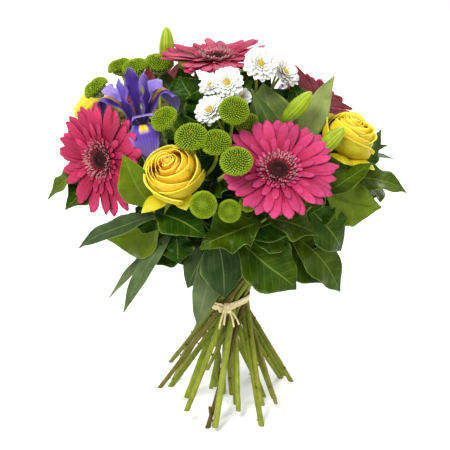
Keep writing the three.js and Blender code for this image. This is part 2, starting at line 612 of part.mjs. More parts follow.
function forkedStem(name, spray, radius) {
  const direction = point(spray.fork).sub(spray.line.waist).normalize();
  const foot = along(spray.line.waist, direction, (spray.foot - BINDING_HEIGHT) / direction.z);
  const route = [foot, along(point(spray.fork), direction, 1)];
  claim(name, (swell) => rod(route, [radius, 0.8 * radius], STEM_SIDES, swell, spray.foot));
}

function claimMumStem(spray) {
  const name = `green_mum_spray_${spray.name}`;
  forkedStem(name, spray, MUM.stem);
  for (const head of spray.heads) {
    const route = branchRoute(point(spray.fork), headFrame(head.at, head.faces), 5 * head.size, head.via);
    claim(name, (swell) => rod(route, [1.9, MUM.branch, 2.2], TWIG_SIDES, swell));
  }
}

// A chrysanthemum head's half outline, with a dimple on top.
const MUM_PROFILE = [[0, -9], [14, -3.5], [14.6, 4], [7.5, 11.6], [0, 9.4]];

function claimMumHeads(spray) {
  const florets = (i, k) => [(k % 2 ? 0.07 : -0.05), 0];
  for (const { at, faces, size } of spray.heads) {
    const frame = headFrame(at, faces);
    const sized = MUM_PROFILE.map(([radius, height]) => [radius * size, height * size]);
    claim(`green_mum_spray_${spray.name}`, (swell) => turned(frame, sized, MUM.sides, florets, swell));
  }
}

function claimDaisyStem(spray) {
  const name = `daisy_spray_${spray.name}_stem`;
  forkedStem(name, spray, DAISY.stem);
  for (const head of spray.heads) {
    const frame = headFrame(head.at, head.faces);
    const route = branchRoute(point(spray.fork), frame, 2.2 * head.size + 2 * SEAT_GAP);
    claim(name, (swell) => rod(route, [1.6, DAISY.branch, 2.8 * head.size], TWIG_SIDES, swell));
  }
}

function daisyHead({ at, faces, size }, seed) {
  const frame = headFrame(at, faces);
  const sized = (rows) => rows.map(([radius, height, ...rest]) => [radius * size, height * size, ...rest]);
  const petals = spread(DAISY.petals, 0, (k) => {
    const tilt = (k % 2 ? 2.2 : -0.2) + 0.8 * scatter(8, seed * 12 + k);
    const reach = DAISY.radius * (k % 2 ? 0.9 : 1);
    return { rows: sized([[3.5, -0.8, 0.95 * size, 1], [0.8 * reach, -0.6 + 0.8 * tilt, 2.9 * size, 1],
      [reach, -0.6 + tilt, 0]]) };
  });
  return petalWheel(frame, petals, 1.1 * size, [2.8 * size, -2.2 * size]);
}

function claimDaisyHeads(spray, first) {
  spray.heads.forEach((head, k) => {
    const reach = 1.04 * DAISY.radius * head.size;
    claim(`daisy_${spray.name}_${k + 1}`, () => daisyHead(head, first + k), () =>
      turned(headFrame(head.at, head.faces), [[4 * head.size, -2.6 * head.size], [reach, -2.6 * head.size],
        [reach, 3.6 * head.size], [4 * head.size, 3.6 * head.size]], 10));
  });
}

// Leaves: half width as a share of the widest, at shares of the length, and the rise of the edges
// above the rib as a share of the half width.
const BROAD_LEAF = { outline: [[0, 0.06], [0.15, 0.36], [0.42, 1], [0.74, 0.72], [1, 0.03]], fold: 0.12 };
const NARROW_LEAF = { outline: [[0, 0.12], [0.25, 0.7], [0.5, 1], [0.78, 0.62], [1, 0.04]], fold: 0.15 };
const LEAF_ARCH = 0.32;

function leafStations(base, { tip, width, faces }, { outline, fold }) {
  const end = point(tip);
  const run = end.clone().sub(base);
  const length = run.length();
  const ahead = run.clone().divideScalar(length);
  const up = facing(faces);
  up.addScaledVector(ahead, -up.dot(ahead)).normalize();
  const side = ahead.clone().cross(up);
  return outline.map(([share, half]) => ({
    centre: along(along(base, run, share), up, LEAF_ARCH * length * share * (1 - share)),
    side,
    up,
    half: 0.5 * width * half,
    lift: 0.5 * width * half * fold,
  }));
}

function claimLeaves(name, curve, leaves, kind) {
  for (const leaf of leaves) {
    const stations = leafStations(curve.getPoint(leaf.along), leaf, kind);
    claim(name, (swell) => blade(stations, LEAF_THICKNESS, swell));
  }
}

const twigCurve = (stem) => new THREE.CatmullRomCurve3(stem.twig.map(point), false, "catmullrom", 0.5);

function claimTwig(name, stem, radius) {
  const direction = point(stem.twig[0]).sub(stem.line.waist).normalize();
  const foot = along(stem.line.waist, direction, (stem.foot - BINDING_HEIGHT) / direction.z);
  const route = [foot, along(point(stem.twig[0]), direction, -8), ...twigCurve(stem).getPoints(3).slice(1)];
  claim(name, (swell) => rod(route, [radius, radius, 1.8, 1.5, 1.1], STEM_SIDES, swell, stem.foot));
}

// Lily: closed three-ribbed buds on short stalks, with leaves on the lower stalk. A bud's half
// outline is given in shares of its girth and length.
const LILY_PROFILE = [[0.35, 0], [0.85, 0.22], [1, 0.5], [0.7, 0.8], [0, 1]];

function claimLilyStem(stem) {
  const name = `lily_${stem.name}`;
  forkedStem(name, stem, LILY_BUD.stem);
  for (const { from, tip, size } of stem.buds) {
    const foot = point(from);
    const top = point(tip);
    const lean = top.clone().sub(foot).normalize();
    const bend = along(foot, lean, -18);
    const stalk = new THREE.QuadraticBezierCurve3(point(stem.fork), bend, along(foot, lean, 2)).getPoints(3);
    claim(name, (swell) => rod(stalk, [2.2, 1.7, 1.7, 2.4], TWIG_SIDES, swell));
    const frame = { ...headFrame(from, [0, 90]), out: lean };
    frame.side = new THREE.Vector3(0, 1, 0).cross(lean).normalize();
    frame.up = lean.clone().cross(frame.side);
    const length = foot.distanceTo(top);
    const girth = LILY_BUD.radius * size;
    const bud = LILY_PROFILE.map(([wide, high]) => [wide * girth, high * length]);
    claim(name, (swell) => turned(frame, bud, 6, plain, swell));
  }
}

function lilyCurve(stem) {
  const fork = point(stem.fork);
  const below = fork.clone().lerp(stem.line.waist, 0.35);
  return new THREE.LineCurve3(below, along(fork, fork.clone().sub(below).normalize(), 12));
}

// Binding: turns of raffia laid round the stems, with a knot and two short ends at the front.
function claimBinding(stems) {
  const half = 0.5 * BINDING_BAND;
  const reachAt = (stem, height) => {
    const share = (stem.neck.z - height) / stem.neck.z;
    const middle = stem.neck.clone().lerp(stem.foot, share);
    return Math.hypot(middle.x, middle.y) + 1.1 * stem.radius;
  };
  const widest = Math.max(...stems.flatMap((stem) =>
    [reachAt(stem, BINDING_HEIGHT - half), reachAt(stem, BINDING_HEIGHT + half)]));
  const girth = (widest + SEAT_GAP) / Math.cos(Math.PI / HOOP_SIDES);
  const frame = headFrame([0, 0, BINDING_HEIGHT], [0, 90]);
  const ridges = [[0, -half], [2, -0.5 * half], [1.1, 0], [2, 0.5 * half], [0, half]]
    .map(([out, height]) => [girth + out, height]);
  const hoop = [...ridges, ridges[0]].map(([radius, height]) => new THREE.Vector2(radius, height));
  const room = (swell) => turned(frame, ridges, HOOP_SIDES, plain, swell);
  claim("raffia_binding", () => hoopSolid(hoop, HOOP_SIDES), room);
  const knot = new THREE.Vector3(2, -girth - 3.2, BINDING_HEIGHT + 1);
  const lumps = [[[-6, 1, -2], [6, 0, 3]], [[-5, 0, 4], [5, 1, -4]]];
  const ends = [[[0, 0, 0], [-5, -4, -10], [-8, -3, -22]], [[0, 0, 0], [6, -4, -8], [12, -5, -16]]];
  for (const run of lumps) {
    const route = run.map((step) => knot.clone().add(point(step)));
    claim("raffia_binding", (swell) => rod(route, [2.6, 2.6], 6, swell));
  }
  for (const run of ends) {
    const route = run.map((step) => knot.clone().add(point(step)));
    claim("raffia_binding", (swell) => rod(route, [1.5, 1.2, 0.8], 4, swell));
  }
}

// A ring turned from a closed outline round the upright axis at the binding's height.
function hoopSolid(outline, sides) {
  const lathe = new THREE.LatheGeometry(outline, sides);
  lathe.deleteAttribute("normal");
  lathe.deleteAttribute("uv");
  lathe.rotateX(Math.PI / 2).translate(0, 0, BINDING_HEIGHT);
  const merged = mergeVertices(lathe, 1e-3);
  const corners = Array.from({ length: merged.attributes.position.count }, (_, k) =>
    new THREE.Vector3().fromBufferAttribute(merged.attributes.position, k));
  const { array } = merged.index;
  const triangles = Array.from({ length: array.length / 3 }, (_, k) => [...array.slice(3 * k, 3 * k + 3)]);
  return closedSolid(corners, triangles.filter(([a, b, c]) => a !== b && b !== c && c !== a));
}

// Straight lines of all stems, from the neck of each down through the binding.
function stemLines() {
  const lines = [];
  const add = (owner, neck, radius) => {
    owner.line = { neck, radius };
    lines.push(owner.line);
  };
  const below = (flower, depth) => headPoint(headFrame(flower.at, flower.faces), 0, 0, -depth);
  const roseDepth = 0.5 * ROSE.height + ROSE.hip + ROSE.neck;
  for (const flower of gerberas) add(flower, below(flower, GERBERA.back + GERBERA.neck), GERBERA.stem);
  for (const flower of roses) add(flower, below(flower, roseDepth), ROSE.stem);
  for (const flower of irises) add(flower, below(flower, IRIS.back + IRIS.neck), IRIS.stem);
  for (const spray of mumSprays) add(spray, point(spray.fork), MUM.stem);
  for (const spray of daisySprays) add(spray, point(spray.fork), DAISY.stem);
  for (const stem of lilies) add(stem, point(stem.fork), LILY_BUD.stem);
  for (const stem of broadStems) add(stem, point(stem.twig[0]), LEAFY_STEM);
  for (const stem of narrowStems) add(stem, point(stem.twig[0]), NARROW_STEM);
  return lines;
}

const lines = stemLines();
tieStems(lines);

gerberas.forEach(claimGerberaStem);
roses.forEach(claimRoseStem);
irises.forEach(claimIrisStem);
mumSprays.forEach(claimMumStem);
daisySprays.forEach(claimDaisyStem);
lilies.forEach(claimLilyStem);
broadStems.forEach((stem) => claimTwig(`broad_leaf_stem_${stem.name}`, stem, LEAFY_STEM));
narrowStems.forEach((stem) => claimTwig(`narrow_leaf_stem_${stem.name}`, stem, NARROW_STEM));
claimBinding(lines);
gerberas.forEach(claimGerberaEye);
mumSprays.forEach(claimMumHeads);
daisySprays.forEach((spray, k) => claimDaisyHeads(spray, 4 * k));
roses.forEach(claimRose);
gerberas.forEach(claimGerberaPetals);
irises.forEach(claimIris);
broadStems.forEach((stem) =>
  claimLeaves(`broad_leaf_stem_${stem.name}`, twigCurve(stem), stem.leaves, BROAD_LEAF));
narrowStems.forEach((stem) =>
  claimLeaves(`narrow_leaf_stem_${stem.name}`, twigCurve(stem), stem.leaves, NARROW_LEAF));
lilies.forEach((stem) => claimLeaves(`lily_${stem.name}`, lilyCurve(stem), stem.leaves, NARROW_LEAF));
settle();

// Materials, one short function for each kind of surface.
const surface = (color, roughness) => new THREE.MeshStandardMaterial({ color, roughness, metalness: 0 });
const petalSurface = (colour) => surface(colour, 0.62);
const stemSurface = () => surface(0x7c8f2b, 0.5);
const eyeSurface = () => surface(0x3a1420, 0.8);
const roseSurface = () => surface(0xf2c91c, 0.55);
const irisSurface = () => surface(0x5a3fa8, 0.6);
const mumSurface = () => surface(0x7fa31b, 0.75);
const daisySurface = () => surface(0xf4f2ea, 0.7);
const lilySurface = () => surface(0x8ea62c, 0.5);
const broadLeafSurface = () => surface(0x2f5a1c, 0.4);
const narrowLeafSurface = () => surface(0x4f6b47, 0.5);
const raffiaSurface = () => surface(0xd8c69a, 0.85);

// A mesh of a sub-part's one body.
function bodyMesh(name, material) {
  const { vertProperties, triVerts, numProp } = oneBody(name).getMesh();
  const geometry = new THREE.BufferGeometry();
  geometry.setAttribute("position", new THREE.BufferAttribute(new Float32Array(vertProperties), numProp));
  geometry.setIndex(new THREE.BufferAttribute(new Uint32Array(triVerts), 1));
  geometry.computeVertexNormals();
  const mesh = new THREE.Mesh(geometry, material);
  mesh.name = name;
  return mesh;
}

function flowerGroup(meshes) {
  const group = new THREE.Group();
  group.add(...meshes);
  return group;
}

const bouquet = new THREE.Group();
bouquet.add(bodyMesh("raffia_binding", raffiaSurface()));
for (const { name, colour } of gerberas) {
  bouquet.add(flowerGroup([
    bodyMesh(`gerbera_${name}_petals`, petalSurface(colour)),
    bodyMesh(`gerbera_${name}_eye`, eyeSurface()),
    bodyMesh(`gerbera_${name}_stem`, stemSurface())]));
}
for (const { name } of roses) {
  bouquet.add(flowerGroup([
    bodyMesh(`rose_${name}_petals`, roseSurface()),
    bodyMesh(`rose_${name}_stem`, stemSurface())]));
}
for (const { name } of irises) {
  bouquet.add(flowerGroup([
    bodyMesh(`iris_${name}_petals`, irisSurface()),
    bodyMesh(`iris_${name}_stem`, stemSurface())]));
}
for (const { name } of mumSprays) bouquet.add(bodyMesh(`green_mum_spray_${name}`, mumSurface()));
for (const { name, heads } of daisySprays) {
  bouquet.add(flowerGroup([
    bodyMesh(`daisy_spray_${name}_stem`, stemSurface()),
    ...heads.map((head, k) => bodyMesh(`daisy_${name}_${k + 1}`, daisySurface()))]));
}
for (const { name } of lilies) bouquet.add(bodyMesh(`lily_${name}`, lilySurface()));
for (const { name } of broadStems) bouquet.add(bodyMesh(`broad_leaf_stem_${name}`, broadLeafSurface()));
for (const { name } of narrowStems) bouquet.add(bodyMesh(`narrow_leaf_stem_${name}`, narrowLeafSurface()));

export default bouquet;
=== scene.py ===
import math

import bpy
import numpy as np
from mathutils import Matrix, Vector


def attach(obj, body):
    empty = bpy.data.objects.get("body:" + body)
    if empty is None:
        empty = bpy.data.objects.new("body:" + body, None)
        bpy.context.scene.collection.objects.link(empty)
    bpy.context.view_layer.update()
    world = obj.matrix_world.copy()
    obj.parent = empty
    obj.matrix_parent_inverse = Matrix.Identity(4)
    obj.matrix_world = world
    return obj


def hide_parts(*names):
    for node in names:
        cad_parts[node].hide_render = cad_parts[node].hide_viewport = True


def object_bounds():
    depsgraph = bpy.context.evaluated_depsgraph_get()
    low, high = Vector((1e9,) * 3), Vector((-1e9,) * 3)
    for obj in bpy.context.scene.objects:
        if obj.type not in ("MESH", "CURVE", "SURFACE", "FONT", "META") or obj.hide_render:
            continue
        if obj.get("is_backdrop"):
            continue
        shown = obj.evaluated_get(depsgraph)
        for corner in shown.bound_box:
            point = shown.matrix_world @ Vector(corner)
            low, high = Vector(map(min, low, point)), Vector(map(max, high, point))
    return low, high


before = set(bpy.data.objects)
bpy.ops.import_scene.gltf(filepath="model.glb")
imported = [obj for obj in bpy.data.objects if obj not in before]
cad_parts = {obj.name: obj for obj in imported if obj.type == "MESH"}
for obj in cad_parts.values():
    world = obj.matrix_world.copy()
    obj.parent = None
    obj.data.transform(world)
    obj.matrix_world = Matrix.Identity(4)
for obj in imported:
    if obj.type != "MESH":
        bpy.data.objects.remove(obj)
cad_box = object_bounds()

# Five gerberas: a wheel of soft grooved ray petals in four rows, a ring of short curled florets with
# pale tips and a dark eye of tight disc florets, on a green cup of pointed bracts that tops one fleshy
# stem, straight below, bent into the head and cut level at its foot.

MM = 0.001  # lengths below are in millimetres

GERBERAS = {
    "left": dict(at=(-115, -58, 281), faces=(-40, 5), cup=4, mess=1.1, dye="deep_pink"),
    "front": dict(at=(48, -98, 283), faces=(8, 50), cup=9, mess=0.8, dye="pink"),
    "top": dict(at=(-8, 12, 361), faces=(0, 84), cup=7, mess=1.8, dye="deep_pink"),
    "back_right": dict(at=(95, 50, 309), faces=(125, 42), cup=6, mess=1.0, dye="crimson"),
    "back_left": dict(at=(-74, 90, 305), faces=(-142, 40), cup=6, mess=1.0, dye="crimson"),
}
GERBERA_RADIUS, GERBERA_NECK, GERBERA_BACK, GERBERA_STEM = 54, 26, 15, 2.8
BINDING_HEIGHT = 117
LONGEST_BEND = 34
# Ray rows: count, shift, reach as a share of the radius, height of the root, extra cup, half width.
RAY_ROWS = [(21, 0.0, 1.0, -2.8, 0, 5.6), (21, 0.5, 0.95, -1.8, 2, 5.0), (17, 0.2, 0.64, -0.8, 5, 3.0),
            (24, 0.4, 0.42, 0.3, 11, 1.8)]
# Rings of curled florets: count, distance from the middle, height, length.
CREST_RINGS = [(44, 10.5, 0.9, 9.0), (40, 9.6, 1.8, 6.5), (34, 8.9, 2.4, 4.6)]
# Rings of bracts: turn as a share of a step, height, length.
BRACT_RINGS = [(0.0, -11.6, 8.0), (0.5, -9.4, 8.4), (0.25, -7.6, 7.0)]
# The green cup from the stem up: radius, height.
GERBERA_CUP = [(3.6, -13.2), (5.6, -11.4), (7.6, -9.6), (8.8, -7.4), (9.6, -5.4)]
RAY_ROOT, EYE_RADIUS, EYE_FLORETS, BRACTS = 9.5, 8.3, 150, 15
GOLDEN_TURN = 2.399963  # radians from one floret of a spiral to the next


def scatter(seed, index):
    """Repeatable scatter between -1 and 1."""
    wave = np.sin(seed * 127.1 + np.asarray(index, float) * 311.7) * 43758.5453
    return 2 * (wave - np.floor(wave)) - 1


def chance(seed, index):
    """Repeatable scatter between 0 and 1."""
    return 0.5 + 0.5 * scatter(seed, index)


def round_about(count, shift=0.0):
    """Angles spread evenly round a circle and moved on by a share of a step."""
    return 2 * np.pi * (np.arange(count) + shift) / count


def spiral(count):
    """Number, share of the radius and angle of each floret in a spiral."""
    k = np.arange(count)
    return k, np.sqrt((k + 0.5) / count), GOLDEN_TURN * k


def unit(vectors):
    vectors = np.asarray(vectors, float)
    return vectors / np.maximum(np.linalg.norm(vectors, axis=-1, keepdims=True), 1e-9)


def facing(azimuth, elevation):
    turn, rise = math.radians(azimuth), math.radians(elevation)
    return np.array([math.sin(turn) * math.cos(rise), -math.cos(turn) * math.cos(rise), math.sin(rise)])


def head_axes(at, faces, spin=0):
    """A head's middle, its level side, its up and the way it faces."""
    out = facing(*faces)
    side = np.cross([0, 0, 1], out)
    side = np.array([1.0, 0, 0]) if np.linalg.norm(side) < 0.05 else unit(side)
    up = np.cross(out, side)
    turn = math.radians(spin)
    return (np.array(at, float), side * math.cos(turn) + up * math.sin(turn),
            up * math.cos(turn) - side * math.sin(turn), out)


def head_point(axes, radius, azimuth, height):
    middle, side, up, out = axes
    radius, azimuth, height = np.broadcast_arrays(radius, azimuth, height)
    return (middle + (radius * np.cos(azimuth))[..., None] * side
            + (radius * np.sin(azimuth))[..., None] * up + height[..., None] * out)


def level_rays(axes, azimuth):
    """The ways that run straight out from a head's axis."""
    return head_point((axes[0] * 0, *axes[1:]), 1.0, azimuth, 0.0)


def smooth_through(knots, shares):
    """A smooth line through (share, value) knots without overshoot."""
    x, y = np.array(knots, float).T
    slope = np.diff(y) / np.diff(x)
    lean = np.concatenate([[slope[0]], np.where(slope[1:] * slope[:-1] > 0,
                          2 * slope[1:] * slope[:-1] / (slope[1:] + slope[:-1] + 1e-12), 0), [slope[-1]]])
    spot = np.clip(np.searchsorted(x, shares, "right") - 1, 0, len(x) - 2)
    width = x[spot + 1] - x[spot]
    t = (shares - x[spot]) / width
    return ((1 + 2 * t) * (1 - t) ** 2 * y[spot] + t * (1 - t) ** 2 * width * lean[spot]
            + t * t * (3 - 2 * t) * y[spot + 1] + t * t * (t - 1) * width * lean[spot + 1])


class Growth:
    """Gathers the closed skins of one piece, with two marks on each point for its finish: growth is
    (along, across, own shade) and skin is (underside, kind, vein)."""

    def __init__(self):
        self.points, self.growth, self.skin = [], [], []
        self.corners = {3: [], 4: []}
        self.count = 0

    def add(self, points, growth, skin, quads, threes=()):
        for size, faces in ((4, quads), (3, threes)):
            if len(faces):
                self.corners[size].append(np.asarray(faces) + self.count)
        self.points.append(points.reshape(-1, 3))
        self.growth.append(np.broadcast_to(growth, points.shape).reshape(-1, 3))
        self.skin.append(np.broadcast_to(skin, points.shape).reshape(-1, 3))
        self.count += points.size // 3

    def piece(self, name, finish, slot, *nodes):
        mesh = bpy.data.meshes.new(name)
        faces = [f for part in (4, 3) for group in self.corners[part] for f in group.tolist()]
        mesh.from_pydata((np.concatenate(self.points) * MM).tolist(), [], faces)
        for label, values in (("growth", self.growth), ("skin", self.skin)):
            layer = mesh.attributes.new(label, "FLOAT_VECTOR", "POINT")
            layer.data.foreach_set("vector", np.concatenate(values).astype(np.float32).ravel())
        mesh.polygons.foreach_set("use_smooth", [True] * len(mesh.polygons))
        mesh.materials.append(finish)
        mesh.update()
        made = bpy.data.objects.new(name, mesh)
        bpy.context.scene.collection.objects.link(made)
        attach(made, "root")
        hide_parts(*nodes)


def lay_sheets(piece, top, thick, own, kind=0.0, vein=0.0):
    """Petals or leaves from the grids of their upper faces (sheet, row, column): the lower face lies
    below along the grid's own normals and thins towards the rim, and the rim is closed."""
    sheets, rows, cols = top.shape[:3]
    s, v = np.linspace(0, 1, rows)[:, None], np.linspace(-1, 1, cols)[None, :]
    normal = unit(np.cross(np.gradient(top, axis=1), np.gradient(top, axis=2)))
    thin = 0.3 + 0.7 * np.sqrt(np.clip(1 - np.maximum(np.abs(v), 0.9 * s) ** 4, 0, 1))
    under = top - normal * (thick * thin)[None, ..., None]
    points = np.stack([top, under], 1)
    growth = np.zeros(points.shape)
    growth[..., 0], growth[..., 1] = s, v
    growth[..., 2] = np.reshape(own, (-1, 1, 1, 1))
    skin = np.zeros(points.shape)
    skin[:, 1, ..., 0] = 1
    skin[..., 1] = np.reshape(kind, (-1, 1, 1, 1))
    skin[..., 2] = np.broadcast_to(vein, top.shape[:3])[:, None]
    spot = np.arange(rows * cols).reshape(rows, cols)
    fields = np.stack([spot[:-1, :-1], spot[1:, :-1], spot[1:, 1:], spot[:-1, 1:]], -1).reshape(-1, 4)
    rim = np.concatenate([spot[:, 0], spot[-1, 1:], spot[-2::-1, -1], spot[0, -2:0:-1]])
    ahead = np.roll(rim, -1)
    size = rows * cols
    edge = np.stack([ahead, rim, rim + size, ahead + size], -1)
    one = np.concatenate([fields, fields[:, ::-1] + size, edge])
    faces = (one[None] + (np.arange(sheets) * 2 * size)[:, None, None]).reshape(-1, 4)
    piece.add(points, growth, skin, faces)


def radiate(axes, azimuth, reach, height, aside, lift, ahead):
    """Grids of sheets that run out from a head. reach and height give each rib, (sheet, row); aside,
    lift and ahead move each point off the rib, (sheet, row, column)."""
    middle, side, up, out = axes
    ray = np.cos(azimuth)[:, None] * side + np.sin(azimuth)[:, None] * up
    tangent = np.cos(azimuth)[:, None] * up - np.sin(azimuth)[:, None] * side
    run, rise = np.gradient(reach, axis=1), np.gradient(height, axis=1)
    size = np.hypot(run, rise)
    run, rise = (run / size)[..., None], (rise / size)[..., None]
    far = reach[..., None] - lift * rise + ahead * run
    high = height[..., None] + lift * run + ahead * rise
    return (middle + far[..., None] * ray[:, None, None] + aside[..., None] * tangent[:, None, None]
            + high[..., None] * out)


def lay_blades(piece, foot, ahead, up, length, half, outline, bend=0.0, cup=0.0, thick=0.5, rows=5, cols=3,
               own=0.0, kind=0.0):
    """Small petals or bracts, each from its foot, the way it grows, its upper side, its length and half
    width. bend (radians) curls it up along its length, cup raises its edges."""
    foot, ahead, up = (np.atleast_2d(a).astype(float) for a in (foot, ahead, up))
    ahead = unit(ahead)
    up = unit(up - ahead * (ahead * up).sum(-1, keepdims=True))
    side = np.cross(up, ahead)
    count = len(foot)
    length, half, bend = (np.broadcast_to(np.asarray(a, float), count)[:, None] for a in (length, half, bend))
    bend = np.where(np.abs(bend) < 1e-3, 1e-3, bend)
    s, v = np.linspace(0, 1, rows)[None], np.linspace(-1, 1, cols)
    forth, rise = length * np.sin(bend * s) / bend, length * (1 - np.cos(bend * s)) / bend
    wide = half * smooth_through(outline, np.linspace(0, 1, rows))[None]
    normal = (np.cos(bend * s)[..., None] * up[:, None] - np.sin(bend * s)[..., None] * ahead[:, None])
    rib = foot[:, None] + forth[..., None] * ahead[:, None] + rise[..., None] * up[:, None]
    top = (rib[:, :, None] + (wide[..., None] * v)[..., None] * side[:, None, None]
           + normal[:, :, None] * (cup * wide[..., None] * v * v)[..., None])
    lay_sheets(piece, top, thick, own, kind)


def ring_quads(sides, rings):
    """The fields between rings of points that follow one another."""
    k = np.arange(sides)
    after = (k + 1) % sides
    return np.concatenate([np.stack([k + sides * i, after + sides * i, after + sides * (i + 1),
                                     k + sides * (i + 1)], -1) for i in range(rings - 1)])


def lay_buds(piece, foot, ahead, length, radius, profile, sides=6, own=0.0, kind=0.0, along=None):
    """Small round closed bodies, each from its foot along its own way, with rows of (share of length,
    share of radius) that end in a point."""
    foot, ahead = np.atleast_2d(foot).astype(float), unit(np.atleast_2d(ahead))
    count = len(foot)
    length, radius = (np.broadcast_to(np.asarray(a, float), count) for a in (length, radius))
    across = unit(np.cross(ahead, [0.31, 0.17, -0.93]))
    other = np.cross(ahead, across)
    angle = round_about(sides)
    circle = np.cos(angle)[None, :, None] * across[:, None] + np.sin(angle)[None, :, None] * other[:, None]
    rings = [foot[:, None] + (share * length)[:, None, None] * ahead[:, None]
             + (wide * radius)[:, None, None] * circle for share, wide in profile]
    tip = foot + length[:, None] * ahead
    points = np.concatenate([*rings, tip[:, None]], 1)
    levels = np.concatenate([np.repeat([share for share, _ in profile], sides), [1.0]])
    growth = np.zeros(points.shape)
    growth[..., 0] = levels if along is None else along
    growth[..., 2] = np.reshape(own, (-1, 1))
    skin = np.zeros(points.shape)
    skin[..., 1] = np.reshape(kind, (-1, 1))
    k = np.arange(sides)
    after = (k + 1) % sides
    quads = ring_quads(sides, len(profile))
    last = sides * (len(profile) - 1)
    threes = np.concatenate([np.stack([last + k, last + after, np.full(sides, last + sides)], -1),
                             np.stack([np.zeros(sides - 2, int), k[2:], k[1:-1]], -1)])
    start = (np.arange(count) * points.shape[1])[:, None, None]
    piece.add(points, growth, skin, (quads + start).reshape(-1, 4), (threes + start).reshape(-1, 3))


def lay_tube(piece, route, radii, sides=10, own=0.0, kind=0.0, level=None, ribs=0, rib_depth=0.0):
    """A stem or strand along a route. level cuts its first end flat at that height; ribs run down it."""
    route = np.asarray(route, float)
    radii = np.broadcast_to(np.asarray(radii, float), len(route))
    tangent = unit(np.gradient(route, axis=0))
    across = np.array([0.37, -0.91, 0.19])
    angle = round_about(sides)
    relief = 1 + rib_depth * np.cos(ribs * angle)
    rings = []
    for centre, way, radius in zip(route, tangent, radii):
        across = unit(across - way * (across @ way))
        other = np.cross(way, across)
        rings.append(centre + radius * relief[:, None] * (np.cos(angle)[:, None] * across
                                                          + np.sin(angle)[:, None] * other))
    if level is not None:
        rings[0] = rings[0] + tangent[0] * ((level - rings[0][:, 2]) / tangent[0][2])[:, None]
    count = len(rings)
    foot = rings[0].mean(0) + tangent[0] * 0.15 * radii[0]
    points = np.concatenate([*rings, rings[0], foot[None], rings[-1].mean(0)[None]])
    runs = np.concatenate([[0], np.cumsum(np.linalg.norm(np.diff(route, axis=0), axis=1))])
    growth = np.zeros((len(points), 3))
    growth[:count * sides, 0] = np.repeat(runs / runs[-1], sides)
    growth[-1, 0] = 1
    growth[:count * sides, 1] = np.tile(angle / np.pi - 1, count)
    growth[:, 2] = own
    skin = np.zeros((len(points), 3))
    skin[:, 1] = kind
    skin[count * sides:-1, 0] = 1
    k = np.arange(sides)
    after = (k + 1) % sides
    quads = ring_quads(sides, count)
    cut, top = count * sides, (count - 1) * sides
    centre = cut + sides
    threes = np.concatenate([np.stack([cut + after, cut + k, np.full(sides, centre)], -1),
                             np.stack([top + k, top + after, np.full(sides, centre + 1)], -1)])
    piece.add(points, growth, skin, quads, threes)


def cut_foot(node):
    """The middle of a stem's cut end, from the lowest corners of its solid in the frame."""
    corners = np.array([v.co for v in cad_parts[node].data.vertices]) / MM
    lowest = corners[:, 2].min()
    ring = np.unique(np.round(corners[corners[:, 2] < lowest + 0.02], 2), axis=0)
    return ring.mean(0)


def bezier(start, turn, end, steps):
    t = np.linspace(0, 1, steps + 1)[:, None]
    return (1 - t) ** 2 * start + 2 * t * (1 - t) * turn + t * t * end


def straight(start, end, step=7.0):
    count = max(2, int(np.linalg.norm(end - start) / step))
    return start + (end - start) * np.linspace(0, 1, count + 1)[:, None]


tied = []  # each stem's foot, way and radius, for the binding


def bent_route(foot, neck, back, thick):
    """Straight from the cut foot, then bent over into the back of a head."""
    way = unit(neck - foot)
    tied.append((foot, way, thick))
    waist = foot + way * (BINDING_HEIGHT - foot[2]) / way[2]
    bend = min(LONGEST_BEND, 0.5 * np.linalg.norm(neck - waist))
    start = neck - way * bend
    return np.concatenate([straight(foot, start), bezier(start, neck, back, 7)[1:]])


def lay_bent_stem(stem, node, axes, neck, back, thick, flare, sides, own):
    """A stem from its cut foot, bent over into its head and wider there: neck and back are heights on
    the head's axis, and flare has rows of radius and height. Gives back the line without the flare."""
    foot = cut_foot(node)
    route = bent_route(foot, head_point(axes, 0, 0, neck), head_point(axes, 0, 0, back), thick)
    wide, high = np.array(flare, float).T
    radii = np.concatenate([np.full(len(route), thick), wide])
    lay_tube(stem, np.concatenate([route, head_point(axes, 0, 0, high)]), radii, sides, own, level=foot[2])
    return route


def dye(red, green, blue, strength=0.58):
    """A linear colour from the usual 0 to 255 values, toned down for the bright studio."""
    levels = [c / 255 / 12.92 if c <= 10 else ((c / 255 + 0.055) / 1.055) ** 2.4 for c in (red, green, blue)]
    return (*[strength * level for level in levels], 1.0)


